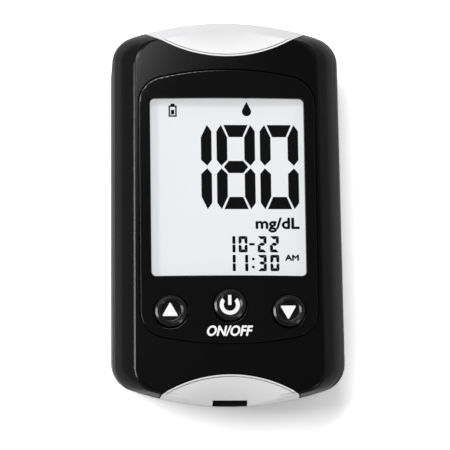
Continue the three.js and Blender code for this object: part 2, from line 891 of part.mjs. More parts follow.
function displayWindow() {
  return prism(windowOutline(displayWindowMargin), [
    displayWindowTop - displayWindowThickness,
    displayWindowTop,
  ]);
}

const lcdTopHeight = lcdBase + lcdThickness;
const lcdHalfWidth = windowHalfWidth + lcdMargin;
const lcdBottom = windowBottom - lcdMargin;
const lcdTop = windowTop + lcdLedge;

function lcdGlass() {
  return prism(
    roundedRectangle([-lcdHalfWidth, lcdHalfWidth], [lcdBottom, lcdTop], windowCornerRadius),
    [lcdBase, lcdTopHeight],
  );
}

function lightGuide() {
  const top = lcdTop - elastomerWidth - clearance;
  return prism(
    roundedRectangle([-lcdHalfWidth, lcdHalfWidth], [lcdBottom, top], windowCornerRadius),
    [lightGuideBase, lightGuideBase + lightGuideThickness],
  );
}

function elastomerConnector() {
  return block(
    [-windowHalfWidth, windowHalfWidth],
    [lcdTop - elastomerWidth, lcdTop],
    [lightGuideBase, lcdBase - clearance],
  );
}

function mainBoard() {
  const wide = prism(
    roundedRectangle([-boardHalfWidth, boardHalfWidth], [boardBottom, boardTop], boardCorner),
    [boardBase, boardSurface],
  );
  const tongue = prism(
    roundedRectangle(
      [-boardTongueHalfWidth, boardTongueHalfWidth],
      [boardTongueBottom, boardBottom + boardCorner * 2],
      boardCorner,
    ),
    [boardBase, boardSurface],
  );
  const pinHoles = postPlaces.map(([x, y]) => disc(
    x,
    y,
    postPinRadius + clearance,
    [0, faceHeight],
    pinSides,
  ));
  return without(joined(wide, tongue), ...pinHoles);
}

// Buttons: a dished disc with a rounded crest and a retaining flange, over a plunger that works a
// small switch.
const switchBase = boardSurface + clearance;
const switchTop = switchBase + switchHeight;
const flangeTop = recessUnderside - rise(buttonSpread) - clearance;
const flangeBase = flangeTop - buttonFlangeThickness;
const plungerTop = flangeBase - clearance;

function button({ x, y }) {
  const top = bezelTopHeight - rise(x) + buttonProud;
  const rim = Array.from({ length: roundSteps + 1 }, (unused, i) => {
    const a = (Math.PI / 2) * (i / roundSteps);
    return [
      THREE.MathUtils.lerp(buttonCrestRadius, buttonRadius, Math.sin(a)),
      top - buttonRimDrop * (1 - Math.cos(a)),
    ];
  });
  const dish = Array.from({ length: roundSteps }, (unused, i) => {
    const t = i / roundSteps;
    return [
      THREE.MathUtils.lerp(buttonDishRadius, buttonCrestRadius, t),
      top - buttonDishDepth * (1 + Math.cos(Math.PI * t)) / 2,
    ];
  });
  return turned([
    [0, flangeBase],
    [buttonRadius + buttonFlange, flangeBase],
    [buttonRadius + buttonFlange, flangeTop],
    [buttonRadius, flangeTop],
    ...rim.reverse(),
    ...dish.reverse(),
    [0, top - buttonDishDepth],
  ], x, y);
}

function switchPlunger({ x, y }) {
  return disc(x, y, plungerRadius, [switchTop - plungerSink, plungerTop], pinSides);
}

function switchBody({ x, y }) {
  const xs = [x - switchHalf, x + switchHalf];
  const ys = [y - switchHalf, y + switchHalf];
  const holeFloor = switchTop - plungerSink - buttonTravel - clearance;
  const hole = disc(x, y, plungerRadius + clearance, [holeFloor, faceHeight], pinSides);
  return block(xs, ys, [switchBase, switchTop]).subtract(hole);
}

// Strip connector: a moulded throat behind the slot, with three bowed contacts in its roof grooves.
const connectorMouth = capWall + capSeatWall + clearance * 2 + connectorGap - halfLength;
const connectorYs = [connectorMouth, connectorMouth + connectorLength];
const stripFloor = boardSurface + clearance + connectorSole;
const stripCeiling = stripFloor + connectorStripThickness;
const grooveHalfWidth = stripContactHalfWidth + clearance;

function stripConnector() {
  const body = block(
    [-connectorHalfWidth, connectorHalfWidth],
    connectorYs,
    [boardSurface + clearance, boardSurface + clearance + connectorHeight],
  ).intersect(capEnvelope(-1, capWall + clearance + capSeatWall + clearance));
  const throat = block(
    [-connectorStripHalfWidth, connectorStripHalfWidth],
    [connectorYs[0] - overrun, connectorYs[1] - stripStop],
    [stripFloor, stripCeiling],
  );
  const grooves = [-1, 0, 1].map((i) => block(
    [i * stripContactPitch - grooveHalfWidth, i * stripContactPitch + grooveHalfWidth],
    [connectorYs[0] + stripStop, connectorYs[1] + overrun],
    [stripCeiling - clearance, boardSurface + connectorHeight + overrun],
  ));
  return without(body, throat, ...grooves);
}

function stripContact(i) {
  const start = connectorYs[0] + stripStop + clearance * 2;
  const end = connectorYs[1] - clearance;
  const middle = stripCeiling + stripContactBow;
  const points = Array.from({ length: profileSteps + 1 }, (unused, step) => {
    const t = step / profileSteps;
    return [
      THREE.MathUtils.lerp(start, end, t),
      middle - stripContactBow * Math.sin(Math.PI * 2 * t),
    ];
  });
  const x = i * stripContactPitch;
  return runAlongX(
    band(points, stripContactSheet),
    [x - stripContactHalfWidth, x + stripContactHalfWidth],
  );
}

// Cells: one each way round, with the room for the spring at the flat end.
function cell(x, forward) {
  const nubTop = cellLength;
  const can = cellLength - cellNubLength;
  const geometry = new THREE.LatheGeometry([
    [0, 0],
    [cellRadius - cellEdge, 0],
    [cellRadius, cellEdge],
    [cellRadius, can - cellEdge],
    [cellRadius - cellEdge, can],
    [cellNubRadius, can],
    [cellNubRadius, nubTop],
    [0, nubTop],
  ].map(([r, y]) => new THREE.Vector2(r, y)), holeSides);
  if (forward < 0) geometry.rotateX(Math.PI);
  const flatEnd = forward > 0 ? bayStart + springRoom : bayEnd - springRoom;
  geometry.translate(x, flatEnd, cellHeight);
  return solid(geometry);
}

// Battery contacts: a flat plate against the bay's end wall, and a leaf that bows to a flat cell end.
function contactPlate(xs, end) {
  const wallY = end > 0 ? bayEnd - clearance : bayStart + clearance;
  const ys = end > 0 ? [wallY - contactSheet, wallY] : [wallY, wallY + contactSheet];
  return block(xs, ys, contactHeights);
}

function contactLeaf(x, end) {
  const wallY = end > 0 ? bayEnd - clearance : bayStart + clearance;
  const bow = springRoom - clearance * 2 - contactSheet;
  const points = Array.from({ length: profileSteps + 1 }, (unused, i) => {
    const t = i / profileSteps;
    return [
      wallY - end * bow * Math.sin(Math.PI * t) ** 2,
      THREE.MathUtils.lerp(contactHeights[0], contactHeights[1], t),
    ];
  });
  const line = end > 0 ? points : points.reverse();
  return runAlongX(band(line, contactSheet), [x - contactHalfWidth, x + contactHalfWidth]);
}

function linkContact() {
  const plate = contactPlate([-cellX - contactHalfWidth, cellX + contactHalfWidth], 1);
  return plate.add(contactLeaf(cellX, 1));
}

function positiveContact() {
  return contactPlate([cellX - contactHalfWidth, cellX + contactHalfWidth], -1);
}

function negativeContact() {
  return contactPlate([-cellX - contactHalfWidth, contactHalfWidth - cellX], -1)
    .add(contactLeaf(-cellX, -1));
}

// Board components on the underside, beside the battery bay
function controlChip() {
  const inner = bayOuter + bayNeighbourGap;
  const middle = bayStart + chipAlong;
  return block(
    [inner, inner + chipHalfWidth * 2],
    [middle - chipHalfLength, middle + chipHalfLength],
    [boardBase - clearance - chipHeight, boardBase - clearance],
  );
}

function radioModule() {
  const inner = bayOuter + bayNeighbourGap;
  const middle = bayStart + radioAlong;
  const xs = [-inner - radioHalfWidth * 2, -inner];
  const ys = [middle - radioHalfLength, middle + radioHalfLength];
  const top = boardBase - clearance;
  const carrier = block(xs, ys, [top - shieldWall, top]);
  const can = block(
    [xs[0] + shieldWall, xs[1] - shieldWall],
    [ys[0] + shieldWall, ys[1] - radioHalfWidth + shieldWall],
    [top - radioHeight, top - shieldWall / 2],
  );
  return carrier.add(can);
}

function buzzer() {
  const top = boardBase - clearance;
  const x = bayOuter + bayNeighbourGap + buzzerRadius;
  const y = bayStart + buzzerAlong;
  return disc(x, y, buzzerRadius, [top - buzzerHeight, top])
    .subtract(disc(x, y, buzzerPortRadius, [0, top - buzzerHeight / 2], pinSides));
}

// Screw: a pan head with a drive socket, seen from the back, and a plain shank.
function screw({ x, y }) {
  const body = turned([
    [0, headBase],
    [screwHeadRadius, headBase],
    [screwHeadRadius, headTop],
    [screwRadius, headTop],
    [screwRadius, Math.min(screwTip, tapTop - clearance)],
    [0, Math.min(screwTip, tapTop - clearance)],
  ], x, y, pinSides);
  const socketSides = 6;
  return body.subtract(disc(x, y, screwDriveRadius, [0, headBase + screwDriveDepth], socketSides));
}

function rubberFoot({ x, y }) {
  return disc(x, y, footRadius, [0, footThickness]);
}

const meter = new THREE.Group();

function place(name, body, color, roughness, metalness = 0) {
  const material = new THREE.MeshStandardMaterial({ color, roughness, metalness });
  const mesh = new THREE.Mesh(geometryOf(body), material);
  mesh.name = name;
  meter.add(mesh);
}

place('front_cover', frontCover(), colours.faceBlack, 0.55);
place('rear_cover', rearCover(), colours.rearGrey, 0.55);
place('top_cap', cap(1), colours.silver, 0.35, 0.6);
place('bottom_cap', cap(-1).subtract(stripSlot), colours.silver, 0.35, 0.6);
place('bezel_panel', bezelPanel(), colours.bezelBlack, 0.12);
place('display_window', displayWindow(), colours.clear, 0.05);
place('lcd_glass', lcdGlass(), colours.displayGrey, 0.3);
place('light_guide', lightGuide(), colours.white, 0.4);
place('elastomer_connector', elastomerConnector(), colours.rubber, 0.8);
place('main_board', mainBoard(), colours.boardGreen, 0.5);
buttons.forEach((spot) => {
  place(`${spot.name}_button`, button(spot), colours.buttonBlack, 0.4);
  place(`${spot.name}_plunger`, switchPlunger(spot), colours.white, 0.5);
  place(`${spot.name}_switch`, switchBody(spot), colours.steel, 0.4, 0.5);
});
place('strip_connector', stripConnector(), colours.connector, 0.5);
['left', 'middle', 'right'].forEach((side, i) => {
  place(`strip_contact_${side}`, stripContact(i - 1), colours.gold, 0.3, 1);
});
place('control_chip', controlChip(), colours.rubber, 0.6);
place('radio_module', radioModule(), colours.nickel, 0.35, 0.9);
place('buzzer', buzzer(), colours.rubber, 0.5);
place('battery_left', cell(-cellX, 1), colours.cell, 0.35, 0.3);
place('battery_right', cell(cellX, -1), colours.cell, 0.35, 0.3);
place('link_contact', linkContact(), colours.nickel, 0.3, 1);
place('positive_contact', positiveContact(), colours.nickel, 0.3, 1);
place('negative_contact', negativeContact(), colours.nickel, 0.3, 1);
place('battery_door', batteryDoor(), colours.rearGrey, 0.55);
screwPlaces.forEach((spot) => place(`screw_${spot.name}`, screw(spot), colours.steel, 0.35, 1));
footPlaces.forEach((spot) => place(`foot_${spot.name}`, rubberFoot(spot), colours.rubber, 0.85));

export default meter;
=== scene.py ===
import math

import bpy
from mathutils import Matrix, Vector


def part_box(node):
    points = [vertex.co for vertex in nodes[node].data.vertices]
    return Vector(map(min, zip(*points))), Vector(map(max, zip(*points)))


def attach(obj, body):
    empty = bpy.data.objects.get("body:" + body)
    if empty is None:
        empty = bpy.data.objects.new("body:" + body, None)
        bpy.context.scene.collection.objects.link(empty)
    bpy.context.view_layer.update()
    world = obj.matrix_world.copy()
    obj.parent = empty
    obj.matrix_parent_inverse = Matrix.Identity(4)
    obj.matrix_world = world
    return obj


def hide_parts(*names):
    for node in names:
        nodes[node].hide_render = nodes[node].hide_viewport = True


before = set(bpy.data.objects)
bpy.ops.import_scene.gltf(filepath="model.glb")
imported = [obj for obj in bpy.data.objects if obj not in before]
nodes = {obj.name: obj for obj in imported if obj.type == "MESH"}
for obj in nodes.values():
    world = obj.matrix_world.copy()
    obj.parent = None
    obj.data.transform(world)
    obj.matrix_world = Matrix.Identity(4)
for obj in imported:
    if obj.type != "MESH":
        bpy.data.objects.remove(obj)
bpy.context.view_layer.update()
mm = 0.001
clear = 60      # mm from the middle, outside the housing on every side
past = 4        # mm, how far a cutting tool goes past what it cuts
under = -1      # mm, the height of a tool's foot under the table


# Selecting and finishing, as by hand
def pickOnly(piece):
    bpy.ops.object.select_all(action="DESELECT")
    piece.select_set(True)
    bpy.context.view_layer.objects.active = piece


def editAll(piece):
    pickOnly(piece)
    bpy.ops.object.mode_set(mode="EDIT")
    bpy.ops.mesh.select_all(action="SELECT")


def applyModifier(piece, kind, **settings):
    pickOnly(piece)
    modifier = piece.modifiers.new(kind.title(), kind)
    for key, value in settings.items():
        setattr(modifier, key, value)
    bpy.ops.object.modifier_apply(modifier=modifier.name)


def settle(piece):
    # The piece's place goes into its mesh.
    pickOnly(piece)
    bpy.ops.object.transform_apply(location=True, rotation=True, scale=True)


def finishPiece(piece, name, material, body, stands=()):
    settle(piece)
    piece.name = name
    piece.data.name = name
    piece.data.materials.clear()
    piece.data.materials.append(material)
    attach(piece, body)
    if stands:
        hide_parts(*stands)


def copyPiece(piece, shift=(0, 0, 0)):
    twin = bpy.data.objects.new(piece.name, piece.data.copy())
    bpy.context.collection.objects.link(twin)
    twin.location = shift
    settle(twin)
    return twin


def combine(piece, tool, operation):
    # The tool is used up.
    applyModifier(piece, "BOOLEAN", operation=operation, object=tool, solver="EXACT")
    bpy.data.objects.remove(tool)
    return piece


def softenShading(piece, angle=30):
    # Smooth faces with crisp edges, the larger faces leading.
    pickOnly(piece)
    bpy.ops.object.shade_smooth_by_angle(angle=math.radians(angle))
    applyModifier(piece, "WEIGHTED_NORMAL", weight=90, keep_sharp=True)


def mergeLoose(piece):
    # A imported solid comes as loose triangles.
    editAll(piece)
    bpy.ops.mesh.customdata_custom_splitnormals_clear()
    bpy.ops.mesh.remove_doubles(threshold=0.002 * mm)
    bpy.ops.mesh.dissolve_limited(angle_limit=math.radians(0.5))
    bpy.ops.object.mode_set(mode="OBJECT")


viewPoint = {
    "aim": (-1.05, -4.86, 23.5),    # a point on the face, mm
    "distance": 1038.3,             # mm
    "tilt": 12.0,                   # degrees towards the strip slot
    "turn": 4.0,                    # degrees towards the left side
    "roll": -0.8,                   # degrees
    "lens": 298.5,                  # mm
    "sensor": 36,                   # mm
    "clip": (0.01, 20),             # metres
}


def addCamera():
    tilt, turn, roll = (math.radians(viewPoint[k]) for k in ("tilt", "turn", "roll"))
    back = Vector((-math.sin(turn), -math.sin(tilt) * math.cos(turn), math.cos(tilt) * math.cos(turn)))
    right = Vector((0, 1, 0)).cross(back).normalized()
    up = back.cross(right)
    across = right * math.cos(roll) + up * math.sin(roll)
    upwards = up * math.cos(roll) - right * math.sin(roll)
    bpy.ops.object.camera_add()
    camera = bpy.context.object
    camera.name = "camera"
    place = (Vector(viewPoint["aim"]) + back * viewPoint["distance"]) * mm
    camera.matrix_world = Matrix.Translation(place) @ Matrix((across, upwards, back)).transposed().to_4x4()
    camera.data.sensor_width = viewPoint["sensor"]
    camera.data.lens = viewPoint["lens"]
    camera.data.clip_start, camera.data.clip_end = viewPoint["clip"]
    bpy.context.scene.camera = camera


bpy.ops.object.select_all(action="DESELECT")
addCamera()
print("camera placed")


# Shared effects for the materials
def newGroup(name, inputs, outputs):
    group = bpy.data.node_groups.new(name, "ShaderNodeTree")
    for way, sockets in (("INPUT", inputs), ("OUTPUT", outputs)):
        for label, kind in sockets:
            group.interface.new_socket(name=label, in_out=way, socket_type=kind)
    return group, group.nodes.new("NodeGroupInput"), group.nodes.new("NodeGroupOutput")


def addNode(tree, kind, **settings):
    node = tree.nodes.new(kind)
    for key, value in settings.items():
        setattr(node, key, value)
    return node


def setValues(node, **values):
    for key, value in values.items():
        node.inputs[key].default_value = value


def makeMouldedGrain():
    # Fine texture of a moulding and a slow change of tone over it.
    group, start, end = newGroup(
        "mouldedGrain",
        [("Vector", "NodeSocketVector"), ("Grain per metre", "NodeSocketFloat"),
         ("Patches per metre", "NodeSocketFloat")],
        [("Grain", "NodeSocketFloat"), ("Patches", "NodeSocketFloat")],
    )
    fine = addNode(group, "ShaderNodeTexNoise")
    setValues(fine, Detail=2.0, Roughness=0.55)
    slow = addNode(group, "ShaderNodeTexNoise")
    setValues(slow, Detail=3.0, Roughness=0.6)
    for noise, scale, result in ((fine, "Grain per metre", "Grain"), (slow, "Patches per metre", "Patches")):
        group.links.new(start.outputs["Vector"], noise.inputs["Vector"])
        group.links.new(start.outputs[scale], noise.inputs["Scale"])
        group.links.new(noise.outputs["Fac"], end.inputs[result])
    return group


def makeFlakes():
    # Small flat flakes in a paint, each with its own tone.
    group, start, end = newGroup(
        "metalFlakes",
        [("Vector", "NodeSocketVector"), ("Flakes per metre", "NodeSocketFloat")],
        [("Tone", "NodeSocketFloat")],
    )
    cells = addNode(group, "ShaderNodeTexVoronoi")
    group.links.new(start.outputs["Vector"], cells.inputs["Vector"])
    group.links.new(start.outputs["Flakes per metre"], cells.inputs["Scale"])
    group.links.new(cells.outputs["Color"], end.inputs["Tone"])
    return group


mouldedGrain = makeMouldedGrain()
metalFlakes = makeFlakes()


plainLook = {"grain": 3000.0, "patches": 60.0, "bump": 0.1, "relief": 0.02}      # per metre, and mm


def makeFinish(name, look):
    # colour and shade are the two tones that the slow patches mix.
    look = {**plainLook, **look}
    material = bpy.data.materials.new(name)
    material.use_nodes = True
    tree = material.node_tree
    shader = tree.nodes["Principled BSDF"]
    place = addNode(tree, "ShaderNodeTexCoord")
    grain = addNode(tree, "ShaderNodeGroup", node_tree=mouldedGrain)
    setValues(grain, **{"Grain per metre": look["grain"], "Patches per metre": look["patches"]})
    tree.links.new(place.outputs["Object"], grain.inputs["Vector"])

    tones = addNode(tree, "ShaderNodeMix", data_type="RGBA")
    tones.inputs["A"].default_value = (*look["colour"], 1)
    tones.inputs["B"].default_value = (*look["shade"], 1)
    tree.links.new(grain.outputs["Patches"], tones.inputs["Factor"])
    tree.links.new(tones.outputs["Result"], shader.inputs["Base Color"])

    source = grain.outputs["Grain"]
    if "flakes" in look:
        flakes = addNode(tree, "ShaderNodeGroup", node_tree=metalFlakes)
        setValues(flakes, **{"Flakes per metre": look["flakes"]})
        tree.links.new(place.outputs["Object"], flakes.inputs["Vector"])
        source = flakes.outputs["Tone"]
    rough = addNode(tree, "ShaderNodeMapRange")
    low, high = look["roughness"]
    setValues(rough, **{"To Min": low, "To Max": high})
    tree.links.new(source, rough.inputs["Value"])
    tree.links.new(rough.outputs["Result"], shader.inputs["Roughness"])

    bump = addNode(tree, "ShaderNodeBump")
    setValues(bump, Strength=look["bump"], Distance=look["relief"] * mm)
    tree.links.new(grain.outputs["Grain"], bump.inputs["Height"])
    tree.links.new(bump.outputs["Normal"], shader.inputs["Normal"])

    for socket, key in (("Metallic", "metallic"), ("Alpha", "alpha"), ("Specular IOR Level", "specular"),
                        ("Emission Color", "glow"), ("Emission Strength", "glowStrength")):
        if key in look:
            shader.inputs[socket].default_value = look[key]
    return material


finishes = {
    "coverBlack": {"colour": (0.003, 0.003, 0.0032), "shade": (0.0045, 0.0045, 0.0048),
                   "roughness": (0.13, 0.18), "specular": 0.2, "grain": 3500.0},
    "rearGrey": {"colour": (0.060, 0.060, 0.064), "shade": (0.070, 0.070, 0.074), "roughness": (0.42, 0.56),
                 "grain": 2600.0, "bump": 0.25, "relief": 0.03},
    "silverPaint": {"colour": (0.90, 0.90, 0.91), "shade": (0.94, 0.94, 0.95), "roughness": (0.42, 0.52),
                    "metallic": 0.2, "flakes": 9000.0, "bump": 0.05},
    "bezelGloss": {"colour": (0.003, 0.003, 0.0032), "shade": (0.0045, 0.0045, 0.0048),
                   "roughness": (0.05, 0.09), "specular": 0.4, "grain": 900.0, "bump": 0.02},
    "clearWindow": {"colour": (0.02, 0.02, 0.021), "shade": (0.026, 0.027, 0.028), "roughness": (0.02, 0.05),
                    "alpha": 0.03, "bump": 0.01},
    # The display's glow is painted light: it lifts the display evenly and fills in the shade that its recess
    # casts on it.
    "displayGreyPaintedGlow": {"colour": (0.36, 0.37, 0.375), "shade": (0.38, 0.39, 0.395), "roughness": (0.35, 0.5),
                    "grain": 5000.0, "patches": 25.0, "bump": 0.03,
                    "glow": (0.95, 0.98, 1.0, 1), "glowStrength": 0.58},
    "displayInk": {"colour": (0.002, 0.002, 0.0025), "shade": (0.003, 0.003, 0.0035), "roughness": (0.4, 0.55),
                   "specular": 0.05},
    "keyBlack": {"colour": (0.002, 0.002, 0.0022), "shade": (0.003, 0.003, 0.0032), "roughness": (0.16, 0.22),
                 "specular": 0.4, "grain": 4000.0, "bump": 0.05},
    # The print's small glow is painted light that makes the white print brighter than the lamps alone light it.
    "keyPrintPaintedGlow": {"colour": (0.93, 0.93, 0.93), "shade": (0.90, 0.90, 0.90), "roughness": (0.45, 0.6),
                 "glow": (1.0, 1.0, 1.0, 1), "glowStrength": 0.12},
    "guideWhite": {"colour": (0.80, 0.80, 0.78), "shade": (0.74, 0.74, 0.72), "roughness": (0.35, 0.45)},
    "stripedRubber": {"colour": (0.02, 0.02, 0.02), "shade": (0.05, 0.05, 0.05), "roughness": (0.7, 0.85)},
    "boardGreen": {"colour": (0.012, 0.11, 0.045), "shade": (0.02, 0.16, 0.07), "roughness": (0.3, 0.5),
                   "patches": 400.0, "bump": 0.1},
    "plungerWhite": {"colour": (0.72, 0.72, 0.70), "shade": (0.66, 0.66, 0.64), "roughness": (0.4, 0.5)},
    "switchSteel": {"colour": (0.50, 0.51, 0.52), "shade": (0.42, 0.43, 0.44), "roughness": (0.25, 0.4),
                    "metallic": 1.0},
    "connectorDark": {"colour": (0.004, 0.004, 0.004), "shade": (0.007, 0.007, 0.007), "roughness": (0.45, 0.6),
                      "specular": 0.2},
    "contactGold": {"colour": (0.83, 0.60, 0.22), "shade": (0.75, 0.53, 0.20), "roughness": (0.18, 0.3),
                    "metallic": 1.0},
    "chipBlack": {"colour": (0.02, 0.02, 0.022), "shade": (0.03, 0.03, 0.032), "roughness": (0.5, 0.7)},
    "nickel": {"colour": (0.62, 0.60, 0.55), "shade": (0.54, 0.52, 0.48), "roughness": (0.2, 0.35),
               "metallic": 1.0},
    "cellSleeve": {"colour": (0.05, 0.07, 0.10), "shade": (0.06, 0.08, 0.12), "roughness": (0.2, 0.3),
                   "metallic": 0.3},
    "zincSteel": {"colour": (0.45, 0.46, 0.48), "shade": (0.36, 0.37, 0.39), "roughness": (0.25, 0.45),
                  "metallic": 1.0},
    "footRubber": {"colour": (0.018, 0.018, 0.018), "shade": (0.026, 0.026, 0.026), "roughness": (0.7, 0.85),
                   "bump": 0.4, "relief": 0.04},
}
paint = {name: makeFinish(name, look) for name, look in finishes.items()}

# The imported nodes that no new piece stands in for
nodeFinish = {
    "clearWindow": ["display_window"],
    "displayGreyPaintedGlow": ["lcd_glass"],
    "guideWhite": ["light_guide"],
    "stripedRubber": ["elastomer_connector"],
    "boardGreen": ["main_board"],
    "plungerWhite": ["up_plunger", "power_plunger", "down_plunger"],
    "switchSteel": ["up_switch", "power_switch", "down_switch"],
    "connectorDark": ["strip_connector"],
    "contactGold": ["strip_contact_left", "strip_contact_middle", "strip_contact_right"],
    "chipBlack": ["control_chip", "buzzer"],
    "nickel": ["radio_module", "link_contact", "positive_contact", "negative_contact"],
}
for finish, shown in nodeFinish.items():
    for name in shown:
        nodes[name].data.materials.clear()
        nodes[name].data.materials.append(paint[finish])
print("finishes made")


# Pieces turned up from a disc, ring by ring
def turnUp(rings, centre, sides, crisp=35):
    # rings: (radius, height) from the underside to the middle of the top; all in mm
    radius, height = rings[0]
    middle = (centre[0] * mm, centre[1] * mm)
    bpy.ops.object.select_all(action="DESELECT")
    bpy.ops.mesh.primitive_circle_add(
        vertices=sides, radius=radius * mm, fill_type="NGON", location=(*middle, height * mm))
    piece = bpy.context.object
    editAll(piece)
    for nextRadius, nextHeight in rings[1:]:
        bpy.ops.mesh.extrude_region_move(TRANSFORM_OT_translate={"value": (0, 0, (nextHeight - height) * mm)})
        share = nextRadius / radius
        bpy.ops.transform.resize(value=(share, share, 1), center_override=(*middle, nextHeight * mm))
        radius, height = nextRadius, nextHeight
    bpy.ops.mesh.select_all(action="SELECT")
    bpy.ops.mesh.normals_make_consistent(inside=False)
    bpy.ops.object.mode_set(mode="OBJECT")
    bpy.ops.object.shade_smooth_by_angle(angle=math.radians(crisp))
    return piece


def measure(node):
    # A node's middle, underside, top and half width, mm
    low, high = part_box(node)
    x, y = (low.x + high.x) / 2, (low.y + high.y) / 2
    return x / mm, y / mm, low.z / mm, high.z / mm, (high.x - low.x) / 2 / mm


# The front cover and its two silver caps come from one envelope.
housing = {
    "halfWidth": 32.1,
    "halfLength": 54.95,
    "taper": 0.25,              # the bottom is this much wider on each side, and the top narrower
    "endRadius": 82,
    "corner": 8,
    "shoulderCorner": 7,
    "base": 16.8,
    "face": 23.5,
    "archRadius": 239.6,
    "flankInset": 5.4,
    "flankBulge": 0.35,
    "topInset": 3.4,
    "bottomInset": 0.4,
    "shoulder": [(0, 0), (0.1, 0.11), (0.2, 0.19), (0.7, 0.39), (0.86, 0.44), (1.5, 0.57)],
    "shoulderDrop": 0.35,
    "endShare": 0.6,            # of the shoulder's width, at the two ends
    "skin": 1.2,
    "overlap": 0.6,
    "step": 0.7,                # how far the front cover stands back from the rear cover at its sides
    "flankSteps": 10,
    "headroom": 3,              # how far the walls go past the face before the arch cuts them
    "archSteps": 72,
    "archHalf": 70,
}
caps = {
    "arc": 36.5,
    "gap": 0.3,
    "wall": 1.4,
    "rim": 0.4,
    "groove": 0.3,
    "grooveDepth": 0.9,
    "slope": 8.65,              # degrees at the arc
    "edge": 70,                 # degrees at the end of the housing
    "fan": 48,                  # degrees each way that a dome's surface spreads round its arc
    "foot": -8,
    "cut": (0, 40),             # heights of the disc that bounds a cap
    "ring": (0, 30),            # and of the ring that cuts its groove
    "level": (-6, -3),          # rows inside the arc, where the surface is level
    "rows": 24,
    "columns": 64,
    "sides": 512,
    "top": {"length": 11.4, "startHandle": 8.2, "edgeHandle": 3.9},
    "bottom": {"length": 8.1, "startHandle": 4.5, "edgeHandle": 3.5},
    "slot": {"width": 9.7, "low": 16.1, "high": 19.3, "reach": 7.5, "lip": 53.6, "floorStart": 54.6,
             "floorThickness": 0.1},
}


def rise(x):
    radius = housing["archRadius"]
    return radius - math.sqrt(radius * radius - x * x)


def layOnArch(piece):
    for vertex in piece.data.vertices:
        vertex.co.z -= rise(vertex.co.x / mm) * mm


def arcPoints(x, y, radius, start, end, steps=48):
    # Points on an arc between two angles in degrees
    return [(x + radius * math.cos(math.radians(start + (end - start) * i / steps)),
             y + radius * math.sin(math.radians(start + (end - start) * i / steps))) for i in range(steps + 1)]


def planOutline(top, bottom, right, taper, corner, endRadius, cornerSteps=14, endSteps=22):
    # Two nearly straight sides, two shallow end arcs, four round corners.
    def quarter(reach, side, forward):
        cx = side - corner
        arcCentre = reach - endRadius
        cy = arcCentre + math.sqrt((endRadius - corner) ** 2 - cx * cx)
        meet = math.atan2(cy - arcCentre, cx)
        points = []
        for i in range(cornerSteps + 1):
            a = meet * i / cornerSteps
            points.append((cx + corner * math.cos(a), cy + corner * math.sin(a)))
        for i in range(1, endSteps + 1):
            a = meet + (math.pi / 2 - meet) * i / endSteps
            points.append((endRadius * math.cos(a), arcCentre + endRadius * math.sin(a)))
        return [(x, forward * y) for x, y in points]

    upper = quarter(top, right - taper, 1)
    lower = quarter(bottom, right + taper, -1)
    return (upper + [(-x, y) for x, y in upper[-2::-1]]
            + [(-x, y) for x, y in lower] + lower[-2::-1])


def bodyOutline(side=0, top=0, bottom=0, corner=8, inset=0):
    return planOutline(housing["halfLength"] - top - inset, housing["halfLength"] - bottom - inset,
                       housing["halfWidth"] - side - inset, housing["taper"], max(corner - inset, 0.3),
                       housing["endRadius"] - inset)


def newCurve(name, loops, dimensions):
    # loops: (outline, height), mm
    curve = bpy.data.curves.new(name, "CURVE")
    curve.dimensions = dimensions
    for points, height in loops:
        spline = curve.splines.new("POLY")
        spline.points.add(len(points) - 1)
        for point, (x, y) in zip(spline.points, points):
            point.co = (x * mm, y * mm, height * mm, 1)
        spline.use_cyclic_u = True
    return curve


def meshFrom(curve):
    piece = bpy.data.objects.new(curve.name, curve)
    bpy.context.collection.objects.link(piece)
    pickOnly(piece)
    bpy.ops.object.convert(target="MESH")
    return piece


def stackOutlines(name, rings):
    # The loops are bridged and the two ends are closed.
    piece = meshFrom(newCurve(name, rings, "3D"))
    editAll(piece)
    bpy.ops.mesh.bridge_edge_loops()
    bpy.ops.mesh.select_all(action="SELECT")
    bpy.ops.mesh.fill_holes(sides=0)
    bpy.ops.mesh.normals_make_consistent(inside=False)
    bpy.ops.object.mode_set(mode="OBJECT")
    return piece


def flatMark(name, outlines, low, high, edge=0.0):
    # Outlines in mm, filled, raised between two heights, with rounded edges
    curve = newCurve(name, [(points, 0) for points in outlines], "2D")
    curve.fill_mode = "BOTH"
    curve.extrude = ((high - low) / 2 - edge) * mm
    curve.bevel_depth = edge * mm
    curve.bevel_resolution = 3
    curve.offset = -edge * mm
    piece = meshFrom(curve)
    piece.location.z = (low + high) / 2 * mm
    settle(piece)
    return piece


def flatPlate(name, outlines, low, high, edge=0.0):
    # A flat mark made one closed skin, which can be cut
    piece = flatMark(name, outlines, low, high, edge)
    editAll(piece)
    bpy.ops.mesh.remove_doubles(threshold=0.0005 * mm)
    bpy.ops.mesh.normals_make_consistent(inside=False)
    bpy.ops.object.mode_set(mode="OBJECT")
    return piece


def discTool(x, y, radius, low, high, sides=256):
    bpy.ops.object.select_all(action="DESELECT")
    bpy.ops.mesh.primitive_cylinder_add(vertices=sides, radius=radius * mm, depth=(high - low) * mm,
                                        location=(x * mm, y * mm, (low + high) / 2 * mm))
    tool = bpy.context.object
    settle(tool)
    return tool


def blockTool(xs, ys, zs):
    bpy.ops.object.select_all(action="DESELECT")
    bpy.ops.mesh.primitive_cube_add(size=mm, location=[(a + b) / 2 * mm for a, b in (xs, ys, zs)],
                                    scale=[b - a for a, b in (xs, ys, zs)])
    tool = bpy.context.object
    settle(tool)
    return tool


def slotBlock(ys, zs):
    half = caps["slot"]["width"] / 2
    return blockTool((-half, half), ys, zs)


def archSlab(inset):
    steps = housing["archSteps"]
    half = housing["halfWidth"] + past
    points = []
    for i in range(steps + 1):
        x = half - 2 * half * i / steps
        points.append((x, housing["face"] - inset - rise(x)))
    points += [(-half, -past), (half, -past)]
    slab = flatPlate("arch", [points], -housing["archHalf"], housing["archHalf"])
    slab.rotation_euler.x = math.pi / 2
    settle(slab)
    return slab


